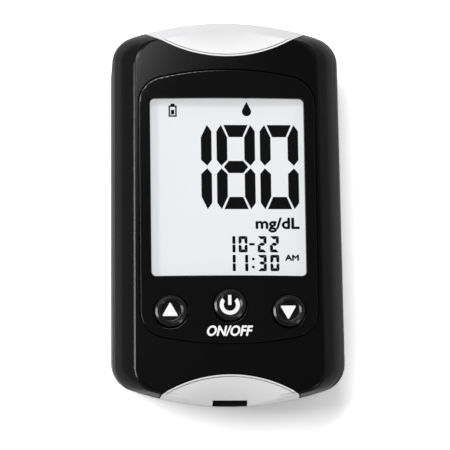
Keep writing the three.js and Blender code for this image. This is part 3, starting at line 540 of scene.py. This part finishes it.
def envelope(inset, step=0.0):
    h = housing
    flankTop = h["face"] - rise(h["halfWidth"] - h["flankInset"]) - h["shoulderDrop"]
    rings = []
    for i in range(h["flankSteps"] + 1):
        t = i / h["flankSteps"]
        lean = t + h["flankBulge"] * t * (t - 1)
        corner = h["corner"] + (h["shoulderCorner"] - h["corner"]) * t
        side = step + (h["flankInset"] - step) * lean
        rings.append((bodyOutline(side, h["topInset"] * lean, h["bottomInset"] * lean, corner, inset),
                      h["base"] + (flankTop - h["base"]) * t))
    for inward, upward in h["shoulder"][1:]:
        atEnds = inward * h["endShare"]
        rings.append((bodyOutline(h["flankInset"] + inward, h["topInset"] + atEnds, h["bottomInset"] + atEnds,
                                  h["shoulderCorner"], inset), flankTop + upward))
    rings.append((rings[-1][0], h["face"] + h["headroom"]))
    if inset:
        rings.insert(0, (rings[0][0], h["base"] - past))
    walls = stackOutlines("walls", rings)
    return combine(walls, archSlab(inset), "INTERSECT")


def capCentre(end):
    side = caps["top" if end > 0 else "bottom"]
    return end * (housing["halfLength"] - side["length"] + caps["arc"])


def capDisc(end, radius, low, high):
    return discTool(0, capCentre(end), radius, low, high, caps["sides"])


def capDome(end, inset):
    # Everything under a cap's surface, which falls away outwards from its arc.
    side = caps["top" if end > 0 else "bottom"]
    slope, edge = math.radians(caps["slope"]), math.radians(caps["edge"])
    depth = housing["face"] - housing["base"]
    first, last = side["startHandle"], side["edgeHandle"]
    handles = [(0, 0), (first * math.cos(slope), first * math.sin(slope)),
               (side["length"] - last * math.cos(edge), depth - last * math.sin(edge)), (side["length"], depth)]
    rows = [(distance, 0) for distance in caps["level"]]
    for i in range(caps["rows"] + 1):
        t = i / caps["rows"]
        weights = ((1 - t) ** 3, 3 * t * (1 - t) ** 2, 3 * t * t * (1 - t), t ** 3)
        rows.append(tuple(sum(w * handle[k] for w, handle in zip(weights, handles)) for k in (0, 1)))
    rows.append((side["length"] + past / math.tan(edge), depth + past))
    centre = abs(capCentre(end))
    fan = math.radians(caps["fan"])
    bpy.ops.object.select_all(action="DESELECT")
    bpy.ops.mesh.primitive_grid_add(x_subdivisions=caps["columns"], y_subdivisions=len(rows) - 1, size=1)
    dome = bpy.context.object
    for vertex in dome.data.vertices:
        a = fan * 2 * vertex.co.x
        distance, drop = rows[round((vertex.co.y + 0.5) * (len(rows) - 1))]
        radius = caps["arc"] - distance + inset
        x = radius * math.sin(a)
        y = centre - radius * math.cos(a)
        vertex.co = (x * mm, end * y * mm, (housing["face"] - rise(x) - drop - inset) * mm)
    editAll(dome)
    bpy.ops.mesh.extrude_region_move(TRANSFORM_OT_translate={"value": (0, 0, -clear * mm)})
    bpy.ops.transform.resize(value=(1, 1, 0), center_override=(0, 0, caps["foot"] * mm))
    bpy.ops.mesh.select_all(action="SELECT")
    bpy.ops.mesh.normals_make_consistent(inside=False)
    bpy.ops.object.mode_set(mode="OBJECT")
    return dome


bezelPlan = {
    "halfWidth": 24.7, "top": 39.75, "bottom": 38.25, "endRadius": 88, "corner": 7.5,
    "face": 23.35, "thickness": 1.2, "edge": 0.22, "gap": 0.3,
    "window": {"halfWidth": 21.55, "bottom": -19.05, "top": 31.65, "corner": 1.3},
    "keyHole": 4.75, "holeSides": 96, "recess": (10, 30),
    "strips": 15, "stripWidth": 1.6,        # cuts that let the plate bend over the arch
}


def bezelOutline(margin=0):
    b = bezelPlan
    return planOutline(b["top"] + margin, b["bottom"] + margin, b["halfWidth"] + margin, 0,
                       b["corner"] + margin, b["endRadius"] + margin)


def joinWorks(skin, node, room):
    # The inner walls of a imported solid, as far as they lie in the room, are joined to a fine skin.
    works = copyPiece(nodes[node])
    mergeLoose(works)
    combine(works, room, "INTERSECT")
    combine(skin, works, "UNION")


outer = envelope(0, housing["step"])
print("envelope made")

# Front cover: a fine skin over the inner walls, seats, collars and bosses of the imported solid
skin = copyPiece(outer)
combine(skin, envelope(housing["skin"]), "DIFFERENCE")
for end in (1, -1):
    combine(skin, capDisc(end, caps["arc"] + caps["gap"] / 2, *caps["cut"]), "DIFFERENCE")
combine(skin, flatPlate("recess", [bezelOutline(bezelPlan["gap"])], *bezelPlan["recess"]), "DIFFERENCE")
joinWorks(skin, "front_cover", envelope(housing["overlap"], housing["step"]))
softenShading(skin)
finishPiece(skin, "frontCover", paint["coverBlack"], "meter", ["front_cover"])
print("front cover made")

slot = caps["slot"]
slotEnd = slot["reach"] - housing["halfLength"]
for end, name in ((1, "top"), (-1, "bottom")):
    cap = copyPiece(outer)
    combine(cap, capDome(end, 0), "INTERSECT")
    hollow = envelope(caps["wall"])
    combine(hollow, capDome(end, caps["wall"]), "INTERSECT")
    combine(cap, hollow, "DIFFERENCE")
    arc = caps["arc"] - caps["gap"] / 2
    combine(cap, capDisc(end, arc, *caps["cut"]), "INTERSECT")
    low, high = caps["ring"]
    ring = capDisc(end, arc - caps["rim"], low, high)
    combine(ring, capDisc(end, arc - caps["rim"] - caps["groove"], low - 1, high + 1), "DIFFERENCE")
    combine(ring, capDome(end, caps["grooveDepth"]), "DIFFERENCE")
    combine(cap, ring, "DIFFERENCE")
    if end < 0:
        combine(cap, slotBlock((-clear, slotEnd), (slot["low"], slot["high"])), "DIFFERENCE")
        combine(cap, slotBlock((-clear, -slot["lip"]), (slot["low"], high)), "DIFFERENCE")
    softenShading(cap)
    finishPiece(cap, name + "Cap", paint["silverPaint"], "meter", [name + "_cap"])
bpy.data.objects.remove(outer)
print("caps made")

# A thin near-black sheet on the slot's floor, ending just inside the rim, is painted shade for the dark inside
# of the slot.
slotShadeSheet = slotBlock((-slot["floorStart"], slotEnd), (slot["low"], slot["low"] + slot["floorThickness"]))
finishPiece(slotShadeSheet, "slotShadeSheet", paint["connectorDark"], "meter")

# Rear cover: a fine skin over the bay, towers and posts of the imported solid
rear = {
    "back": 0.6,                # height of the back over the table
    "parting": 16.5,            # height of the joint with the front cover
    "round": 5,
    "roundSteps": 14,
    "tuck": 10,                 # degrees that the end walls lean in
    "floor": 1.4,
    "channel": {"narrow": 12.9, "wide": 14.1, "start": -10.5, "low": 1.3, "high": 2.7},
    "headHole": {"radius": 2.6, "top": 3.9},
    "footSeat": {"radius": 4.3, "top": 1.5},
    "holeSides": 64,
}


def rearEnvelope(inset, base):
    rounding = rear["round"] - inset
    rings = []
    for i in range(rear["roundSteps"] + 1):
        a = math.pi / 2 * i / rear["roundSteps"]
        z = base + rounding * (1 - math.cos(a))
        pulledIn = rounding * (1 - math.sin(a))
        tucked = math.tan(math.radians(rear["tuck"])) * (rear["parting"] - z)
        rings.append((bodyOutline(pulledIn, pulledIn + tucked, pulledIn + tucked, inset=inset), z))
    rings.append((bodyOutline(inset=inset), rear["parting"] + (past if inset else 0)))
    return stackOutlines("rear", rings)


corners = ("top_left", "top_right", "bottom_left", "bottom_right")
skin = rearEnvelope(0, rear["back"])
combine(skin, rearEnvelope(housing["skin"], rear["back"] + rear["floor"]), "DIFFERENCE")
channel = rear["channel"]
for half, low in ((channel["narrow"], under), (channel["wide"], channel["low"])):
    combine(skin, blockTool((-half, half), (channel["start"], clear), (low, channel["high"])), "DIFFERENCE")
combine(skin, slotBlock((-clear, slotEnd), (slot["low"], slot["high"])), "DIFFERENCE")
for corner in corners:
    for node, hole in (("screw_", rear["headHole"]), ("foot_", rear["footSeat"])):
        x, y, *_ = measure(node + corner)
        combine(skin, discTool(x, y, hole["radius"], under, hole["top"], rear["holeSides"]), "DIFFERENCE")
joinWorks(skin, "rear_cover", rearEnvelope(housing["overlap"], rear["back"] + housing["overlap"]))
softenShading(skin)
finishPiece(skin, "rearCover", paint["rearGrey"], "meter", ["rear_cover"])
print("rear cover made")

door = {
    "halfWidth": 12.6, "flange": 1.2, "skin": 1.0, "flangeTop": 2.4, "start": -10.2,
    "grooves": 5, "grooveRadius": 0.5, "grooveHalf": 7, "grooveSides": 48, "margin": 5.2, "pitch": 2.4,
    "edge": 0.15,
}
along = (door["start"], clear)
half, wide = door["halfWidth"], door["halfWidth"] + door["flange"]
skinTop = rear["back"] + door["skin"]
plate = blockTool((-half, half), along, (under, skinTop))
combine(plate, blockTool((-wide, wide), along, (skinTop, door["flangeTop"])), "UNION")
combine(plate, rearEnvelope(0, rear["back"]), "INTERSECT")
for i in range(door["grooves"]):
    bpy.ops.object.select_all(action="DESELECT")
    bpy.ops.mesh.primitive_cylinder_add(
        vertices=door["grooveSides"], radius=door["grooveRadius"] * mm, depth=door["grooveHalf"] * 2 * mm,
        location=(0, (door["start"] + door["margin"] + i * door["pitch"]) * mm, rear["back"] * mm),
        rotation=(0, math.pi / 2, 0))
    groove = bpy.context.object
    settle(groove)
    combine(plate, groove, "DIFFERENCE")
applyModifier(plate, "BEVEL", width=door["edge"] * mm, segments=2, limit_method="ANGLE",
              angle_limit=math.radians(50))
softenShading(plate)
finishPiece(plate, "batteryDoor", paint["rearGrey"], "door", ["battery_door"])
print("door made")

# Screws and feet, turned up from below
screw = {"face": 1.85, "ease": 0.1, "edge": 0.25, "head": 1.6, "socket": 1.1, "socketDepth": 0.9, "shank": 1.0,
         "point": 0.6, "tip": 0.3, "sides": 48, "socketSides": 6}
foot = {"ease": 0.1, "edge": 0.35, "sides": 64}
for corner in corners:
    name = "screw_" + corner
    x, y, low, high, radius = measure(name)
    ease, head = screw["ease"], low + screw["head"]
    rings = [(screw["face"], low), (radius - ease, low + ease), (radius, low + screw["edge"]), (radius, head),
             (screw["shank"], head), (screw["shank"], high - screw["point"]), (screw["tip"], high)]
    piece = turnUp(rings, (x, y), screw["sides"])
    socket = discTool(x, y, screw["socket"], low - past, low + screw["socketDepth"], screw["socketSides"])
    combine(piece, socket, "DIFFERENCE")
    softenShading(piece)
    finishPiece(piece, name + "_fine", paint["zincSteel"], "meter", [name])
    name = "foot_" + corner
    x, y, low, high, radius = measure(name)
    ease = foot["ease"]
    rings = [(radius - foot["edge"], low), (radius - ease, low + ease), (radius, low + foot["edge"]),
             (radius, high)]
    piece = turnUp(rings, (x, y), foot["sides"])
    finishPiece(piece, name + "_fine", paint["footRubber"], "meter", [name])
print("screws and feet made")

# Cells: a bright can under a printed sleeve, turned upright and laid along the bay
cell = {
    "radius": 5.25, "sleeve": 0.12, "nub": 1.9, "nubLength": 1.0, "nubRound": 0.3, "nubEdge": 0.25, "sides": 96,
    "foot": [(0.5, 0), (0.15, 0.12), (0, 0.5)],     # inwards from the wall, along from the flat end
    "shoulder": [(0, 2.2), (0.25, 1.8), (0.25, 1.4), (0, 1.0), (0, 0.5), (0.3, 0.1), (0.8, 0)],     # and back
    "sleeveFoot": (0.6, 0.75), "sleeveTop": (2.6, 2.4),
}
for side, forward in (("left", 1), ("right", -1)):
    name = "battery_" + side
    low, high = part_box(name)
    length = (high.y - low.y) / mm
    can = length - cell["nubLength"]
    outside, wall = cell["radius"], cell["radius"] - cell["sleeve"]
    nub, nubRound, nubEdge = cell["nub"], cell["nubRound"], cell["nubEdge"]
    rings = [(wall - inward, upward) for inward, upward in cell["foot"]]
    rings += [(wall - inward, can - down) for inward, down in cell["shoulder"]]
    rings += [(nub + nubRound, can), (nub, can + nubRound), (nub, length - nubEdge), (nub - nubEdge, length)]
    body = turnUp(rings, (0, 0), cell["sides"])
    start, full = cell["sleeveFoot"]
    last, end = cell["sleeveTop"]
    rings = [(wall, start), (outside, full), (outside, can - last), (wall, can - end)]
    sleeve = turnUp(rings, (0, 0), cell["sides"])
    place = ((low.x + high.x) / 2, low.y if forward > 0 else high.y, (low.z + high.z) / 2)
    for piece, label, finish in ((body, name + "_can", "nickel"), (sleeve, name + "_sleeve", "cellSleeve")):
        piece.rotation_euler.x = -math.pi / 2 * forward
        piece.location = place
        stands = [name] if piece is body else []
        finishPiece(piece, label, paint[finish], "meter", stands)
print("cells made")

# Bezel: cut flat with rounded edges, then laid over the arch of the face
b, w = bezelPlan, bezelPlan["window"]
side, top, bottom = w["halfWidth"] - w["corner"], w["top"] - w["corner"], w["bottom"] + w["corner"]
windowOutline = []
for x, y, start in ((side, top, 0), (-side, top, 90), (-side, bottom, 180), (side, bottom, 270)):
    windowOutline += arcPoints(x, y, w["corner"], start, start + 90, 8)
outlines = [bezelOutline(), windowOutline]
for key in ("up", "power", "down"):
    x, y, *_ = measure(key + "_button")
    outlines.append(arcPoints(x, y, b["keyHole"], 0, 360 - 360 / b["holeSides"], b["holeSides"] - 1))
bezel = flatPlate("bezel", outlines, b["face"] - b["thickness"], b["face"], b["edge"])
for i in range(-b["strips"], b["strips"] + 1):
    editAll(bezel)
    bpy.ops.mesh.bisect(plane_co=(i * b["stripWidth"] * mm, 0, 0), plane_no=(1, 0, 0))
    bpy.ops.object.mode_set(mode="OBJECT")
layOnArch(bezel)
softenShading(bezel)
finishPiece(bezel, "bezel", paint["bezelGloss"], "meter", ["bezel_panel"])
print("bezel made")


# Keys: a dished disc inside a rounded rim
keyShape = {
    "radius": 4.45,
    "edge": 0.3,
    "edgeLean": 0.5,
    "rimSlope": 0.26,
    # radius, and depth under the top
    "crest": [(4.22, 0.22), (3.78, 0.04), (3.7, 0.01), (3.62, 0), (3.54, 0.01), (3.46, 0.05), (3.0, 0.31),
              (2.9, 0.34), (2.75, 0.35)],
    "dishDepth": 0.35,
    "flange": 0.9,
    "flangeThickness": 0.8,
    "sides": 96,
    "steps": 5,
}


def keyRings(base, top):
    # The rim slopes outwards from its crest, which is what catches the side lights, and inwards to the dish.
    radius, edge = keyShape["radius"], keyShape["edge"]
    lip = top - keyShape["rimSlope"]
    step = base + keyShape["flangeThickness"]
    wide = radius + keyShape["flange"]
    rings = [(wide, base), (wide, step), (radius, step), (radius, lip - edge)]
    for i in range(1, keyShape["steps"] + 1):
        a = math.pi / 2 * i / keyShape["steps"]
        rings.append((radius - edge * (1 - math.cos(a)) * keyShape["edgeLean"], lip - edge * (1 - math.sin(a))))
    return rings + [(inner, top - drop) for inner, drop in keyShape["crest"]]


keyPlaces = {}
for key in ("up", "power", "down"):
    x, y, low, high, _ = measure(key + "_button")
    piece = turnUp(keyRings(low, high), (x, y), keyShape["sides"])
    finishPiece(piece, key + "Key", paint["keyBlack"], key + "_key", [key + "_button"])
    keyPlaces[key] = (x, y, high - keyShape["dishDepth"])
print("keys made")


# Flat marks of the display, as thin as print
displayTop = measure("lcd_glass")[3]
ink = {"thickness": 0.03, "keyThickness": 0.02, "letterSize": 10, "letterSteps": 3}


def finishMark(name, outlines):
    piece = flatMark(name, outlines, displayTop, displayTop + ink["thickness"])
    finishPiece(piece, name, paint["displayInk"], "meter")


# The big numerals: shares of a segment's thickness place the points at its ends and its rounded corners.
numeral = {
    "width": 10.8,
    "height": 24.2,
    "upright": 3.0,         # thickness of an upright segment
    "level": 3.5,           # thickness of a level segment
    "joint": 0.95,          # gap between segments
    "pitch": 12.2,
    "start": (-15.03, 0.55),    # lower left corner of the first numeral
    "figures": "180",
}
lit = {"0": "abcdef", "1": "bc", "2": "abged", "3": "abgcd", "8": "abcdefg", "-": "g"}


def bigNumeral(figure, x0, y0):
    w, h, u, v, j = (numeral[k] for k in ("width", "height", "upright", "level", "joint"))
    half = h / 2
    point = u * 0.43        # how far in the point of an upright's end lies

    def upright(right, upper):
        # drawn for the right upper segment, then mirrored
        xs = (w - u, w)
        foot = half + j / 2
        outline = [(xs[0], foot + u * 0.52), (xs[1] - point, foot - 0.1), (xs[1], foot + u * 0.5),
                   (xs[1], h - u * 0.62), (xs[1] - u * 0.16, h - u * 0.36), (xs[1] - point, h),
                   (xs[0], h - v - 0.1)]
        if not upper:
            outline = [(x, h - y) for x, y in outline]
        if not right:
            outline = [(w - x, y) for x, y in outline]
        return outline

    def level(y, kind):
        inset = u * 0.66
        if kind == "g":
            inner = inset + u * 0.46
            return [(inset, y), (inner, y + v / 2), (w - inner, y + v / 2), (w - inset, y),
                    (w - inner, y - v / 2), (inner, y - v / 2)]
        inner = inset + u * 0.5
        foot = y - v if kind == "a" else y + v
        return [(inset, y), (w - inset, y), (w - inner, foot), (inner, foot)]

    shapes = {
        "a": level(h, "a"), "g": level(half, "g"), "d": level(0, "d"),
        "b": upright(True, True), "c": upright(True, False),
        "f": upright(False, True), "e": upright(False, False),
    }
    return [[(x0 + x, y0 + y) for x, y in shapes[s]] for s in lit[figure]]


outlines = []
x, y = numeral["start"]
for i, figure in enumerate(numeral["figures"]):
    outlines += bigNumeral(figure, x + i * numeral["pitch"], y)
finishMark("bigNumerals", outlines)

# The small figures of the day and the hour
small = {
    "width": 2.5, "height": 4.65, "bar": 0.86, "joint": 0.02, "gap": 0.09, "dash": (0.2, 1.7, 0.34),
    "colon": {"x": 7.0, "ys": (-13.67, -15.95), "radius": 0.4},
}
smallRows = [
    {"left": -0.4, "base": -11.8, "figures": [("1", 0), ("0", 3.37), ("-", 6.15), ("2", 8.7), ("2", 12.16)]},
    {"left": -0.4, "base": -17.15, "figures": [("1", 0), ("1", 3.5), ("3", 8.66), ("0", 12.2)]},
]


def smallFigure(figure, x0, y0):
    w, h, b, j, g = (small[k] for k in ("width", "height", "bar", "joint", "gap"))
    mid = h / 2
    side = [(0, h - b * 0.3), (0, mid + g + b * 0.3), (b * 0.3, mid + g), (b * 0.45, mid + g),
            (b, mid + g + b * 0.55), (b, h - b - j), (b * 0.15, h - b * 0.15 - j)]
    end = [(b * 0.3, h), (b * 0.15 + j, h - b * 0.15), (b + j, h - b), (w - b - j, h - b),
           (w - b * 0.15 - j, h - b * 0.15), (w - b * 0.3, h)]
    bar = [(b * 0.5, mid), (b, mid + b / 2), (w - b, mid + b / 2), (w - b * 0.5, mid), (w - b, mid - b / 2),
           (b, mid - b / 2)]
    foot, cut = mid + g, b * 0.2
    alone = [(0, h - cut), (0, foot + cut), (cut, foot), (b - cut, foot), (b, foot + cut), (b, h - cut),
             (b - cut, h), (cut, h)]
    shapes = {
        "a": end, "d": [(x, h - y) for x, y in end], "g": bar,
        "f": side, "b": [(w - x, y) for x, y in side],
        "e": [(x, h - y) for x, y in side], "c": [(w - x, h - y) for x, y in side],
    }
    if figure == "1":
        shapes["b"] = [(w - b + x, y) for x, y in alone]
        shapes["c"] = [(w - b + x, h - y) for x, y in alone]
    if figure == "-":
        left, right, half = small["dash"]
        shapes["g"] = [(left, mid - half), (right, mid - half), (right, mid + half), (left, mid + half)]
    return [[(x0 + x, y0 + y) for x, y in shapes[s]] for s in lit[figure]]


outlines = []
for row in smallRows:
    for figure, along in row["figures"]:
        outlines += smallFigure(figure, row["left"] + along, row["base"])
colon = small["colon"]
for y in colon["ys"]:
    outlines.append(arcPoints(colon["x"], y, colon["radius"], 0, 345.6, 20))
finishMark("smallFigures", outlines)


def printedWord(word, height):
    # The letters get their weight from copies of themselves, set a little apart and joined.
    bpy.ops.object.select_all(action="DESELECT")
    bpy.ops.object.text_add()
    text = bpy.context.object.data
    text.body = word["text"]
    text.size = ink["letterSize"] * mm
    text.resolution_u = ink["letterSteps"]
    text.shear = word.get("lean", 0)
    bpy.ops.object.convert(target="MESH")
    piece = bpy.context.object
    half = word["weight"] / 2 * mm
    xs = [v.co.x for v in piece.data.vertices]
    tallest = max(v.co.y for v in piece.data.vertices)
    wide = ((word["right"] - word["left"]) * mm - 2 * half) / (max(xs) - min(xs))
    tall = (word["cap"] * mm - 2 * half) / tallest
    piece.scale = (wide, tall, 1)
    piece.location = (word["left"] * mm + half - min(xs) * wide, word["base"] * mm + half, height * mm)
    settle(piece)
    applyModifier(piece, "SOLIDIFY", thickness=ink["thickness"] * mm, offset=1)
    copies = [copyPiece(piece, shift) for shift in ((half, 0, 0), (-half, 0, 0), (0, half, 0), (0, -half, 0))]
    for copy in copies:
        combine(piece, copy, "UNION")
    return piece


words = [
    {"name": "unitMark", "text": "mg/dL", "left": 7.8, "right": 20.2, "base": -5.15, "cap": 3.35,
     "weight": 0.34},
    {"name": "halfDayMark", "text": "AM", "left": 15.9, "right": 19.83, "base": -14.23, "cap": 1.83,
     "weight": 0.24},
]
for word in words:
    finishPiece(printedWord(word, displayTop), word["name"], paint["displayInk"], "meter")


def moved(outlines, x, y):
    return [[(px + x, py + y) for px, py in points] for points in outlines]


# Signs, drawn as outlines round their own middle
signs = {
    "battery": {"at": (-15.07, 28.97), "width": 2.3, "height": 3.8, "wall": 0.42, "nub": 0.55, "charge": 0.1},
    "drop": {"at": (5.75, 28.6), "radius": 1.3, "tip": 2.9},
    "triangle": {"half": 2.24, "up": 2.45, "down": 1.5, "round": 0.25},
    "power": {"outer": 2.8, "stroke": 1.1, "gap": 46, "innerGap": 52.9, "barTop": 2.75, "barFoot": -0.05,
              "barHalf": 0.45},
}


def batterySign():
    b = signs["battery"]
    w, h, t, n = b["width"] / 2, b["height"] / 2, b["wall"], b["nub"]
    case = [(-w, -h), (w, -h), (w, h - n), (w / 2, h - n), (w / 2, h), (-w / 2, h), (-w / 2, h - n),
            (-w, h - n)]
    room = [(-w + t, -h + t), (w - t, -h + t), (w - t, h - n - t), (-w + t, h - n - t)]
    x, foot, top = w - 1.6 * t, -h + 1.6 * t, b["charge"]
    charge = [(-x, foot), (x, foot), (x, top), (-x, top)]
    return moved([case, room, charge], *b["at"])


def dropSign():
    d = signs["drop"]
    r, tip = d["radius"], d["tip"]
    meet = math.degrees(math.asin(r / tip))
    return moved([arcPoints(0, 0, r, 180 - meet, 360 + meet) + [(0, tip)]], *d["at"])


def triangleSign(point):
    # point: 1 upwards, -1 downwards
    t = signs["triangle"]
    tips = [(-t["half"], -t["down"] * point), (t["half"], -t["down"] * point), (0, t["up"] * point)]
    outline = []
    for i in range(3):
        before, here, after = (Vector(tips[(i + k) % 3]) for k in (-1, 0, 1))
        towards, away = ((other - here).normalized() * t["round"] * 2 for other in (before, after))
        for k in range(7):
            share = k / 6
            outline.append(tuple(here + towards * (1 - share) ** 2 + away * share ** 2))
    return [outline]


def powerSign():
    w = signs["power"]
    inner = w["outer"] - w["stroke"]
    ring = (arcPoints(0, 0, w["outer"], 90 + w["gap"], 450 - w["gap"])
            + arcPoints(0, 0, inner, 450 - w["innerGap"], 90 + w["innerGap"]))
    bar = [(-w["barHalf"], w["barFoot"]), (w["barHalf"], w["barFoot"]), (w["barHalf"], w["barTop"]),
           (-w["barHalf"], w["barTop"])]
    return [ring, bar]


finishMark("batterySign", batterySign())
finishMark("dropSign", dropSign())
keySigns = {
    "up": {"outlines": triangleSign(1), "shift": (-0.2, 0)},
    "power": {"outlines": powerSign(), "shift": (-0.08, -0.05)},
    "down": {"outlines": triangleSign(-1), "shift": (-0.2, -0.1)},
}
for key, sign in keySigns.items():
    x, y, z = keyPlaces[key]
    outlines = moved(sign["outlines"], x + sign["shift"][0], y + sign["shift"][1])
    piece = flatMark(key + "Sign", outlines, z, z + ink["keyThickness"])
    finishPiece(piece, key + "Sign", paint["keyPrintPaintedGlow"], key + "_key")

# The word under the middle key lies on the arched bezel.
keyWord = {"name": "keyWord", "text": "ON/OFF", "left": -6.45, "right": 6.4, "base": -36.2, "cap": 3.0,
           "weight": 0.24, "lean": 0.25}
piece = printedWord(keyWord, bezelPlan["face"])
layOnArch(piece)
finishPiece(piece, keyWord["name"], paint["keyPrintPaintedGlow"], "meter")
print("display marks made")


# Floor, world and lamps
stage = {
    "floorSize": 1.8,
    "floorTone": 0.85,          # what the lamps' light sees
    "floorSeen": 2.2,           # what the camera sees: white, with the shadow kept
    "floorMirrored": 1.0,       # what gloss and glass show
    "horizon": 0.45,
    "overhead": 0.08,
    "ceiling": (0.72, 0.93),    # heights on a unit dome between which the world dims from one to the other
}


def makeFloor():
    bpy.ops.object.select_all(action="DESELECT")
    bpy.ops.mesh.primitive_plane_add(size=stage["floorSize"])
    floor = bpy.context.object
    floor.name = "floor"
    material = bpy.data.materials.new("paleFloor")
    material.use_nodes = True
    tree = material.node_tree
    tree.nodes.remove(tree.nodes["Principled BSDF"])
    path = addNode(tree, "ShaderNodeLightPath")
    mirrored = addNode(tree, "ShaderNodeMath", operation="MAXIMUM")
    tree.links.new(path.outputs["Is Glossy Ray"], mirrored.inputs[0])
    tree.links.new(path.outputs["Is Transmission Ray"], mirrored.inputs[1])
    colour = None
    for mask, tone in ((mirrored.outputs[0], "floorMirrored"), (path.outputs["Is Camera Ray"], "floorSeen")):
        mix = addNode(tree, "ShaderNodeMix", data_type="RGBA")
        mix.inputs["A"].default_value = (*[stage["floorTone"]] * 3, 1)
        mix.inputs["B"].default_value = (*[stage[tone]] * 3, 1)
        if colour:
            tree.links.new(colour, mix.inputs["A"])
        tree.links.new(mask, mix.inputs["Factor"])
        colour = mix.outputs["Result"]
    matt = addNode(tree, "ShaderNodeBsdfDiffuse")
    tree.links.new(colour, matt.inputs["Color"])
    tree.links.new(matt.outputs[0], tree.nodes["Material Output"].inputs["Surface"])
    floor.data.materials.append(material)


def makeWorld():
    # Pale all round and dim right overhead, so that the face shows no ceiling; the camera sees plain white.
    world = bpy.data.worlds.new("studio")
    bpy.context.scene.world = world
    world.use_nodes = True
    tree = world.node_tree
    place = addNode(tree, "ShaderNodeTexCoord")
    parts = addNode(tree, "ShaderNodeSeparateXYZ")
    tree.links.new(place.outputs["Generated"], parts.inputs["Vector"])
    tone = addNode(tree, "ShaderNodeMapRange", interpolation_type="SMOOTHSTEP")
    low, high = stage["ceiling"]
    setValues(tone, **{"From Min": low, "From Max": high})
    setValues(tone, **{"To Min": stage["horizon"], "To Max": stage["overhead"]})
    tree.links.new(parts.outputs["Z"], tone.inputs["Value"])
    path = addNode(tree, "ShaderNodeLightPath")
    seen = addNode(tree, "ShaderNodeMath", operation="MAXIMUM")
    tree.links.new(tone.outputs["Result"], seen.inputs[0])
    tree.links.new(path.outputs["Is Camera Ray"], seen.inputs[1])
    tree.links.new(seen.outputs[0], tree.nodes["Background"].inputs["Color"])


# lean: degrees from overhead; round: degrees from the display's top towards the left
softboxes = [
    {"name": "topBox", "lean": 26, "round": 20, "distance": 1.0, "size": (0.45, 0.22), "watts": 3.0},
    {"name": "leftBox", "lean": 40, "round": 84, "distance": 1.0, "size": (0.42, 0.16), "watts": 3.6},
    {"name": "lowBox", "lean": 40, "round": -125, "distance": 1.0, "size": (0.13, 0.1), "watts": 0.4},
]


def addSoftbox(box):
    lean, turn = math.radians(box["lean"]), math.radians(box["round"])
    away = Vector((-math.sin(lean) * math.sin(turn), math.sin(lean) * math.cos(turn), math.cos(lean)))
    bpy.ops.object.light_add(type="AREA", location=away * box["distance"])
    lamp = bpy.context.object
    lamp.name = box["name"]
    lamp.data.shape = "RECTANGLE"
    lamp.data.size, lamp.data.size_y = box["size"]
    lamp.data.energy = box["watts"]
    lamp.rotation_mode = "QUATERNION"
    lamp.rotation_quaternion = (-away).to_track_quat("-Z", "Y")


makeFloor()
makeWorld()
for box in softboxes:
    addSoftbox(box)
bpy.context.scene.view_settings.view_transform = "Standard"
print("stage lit")
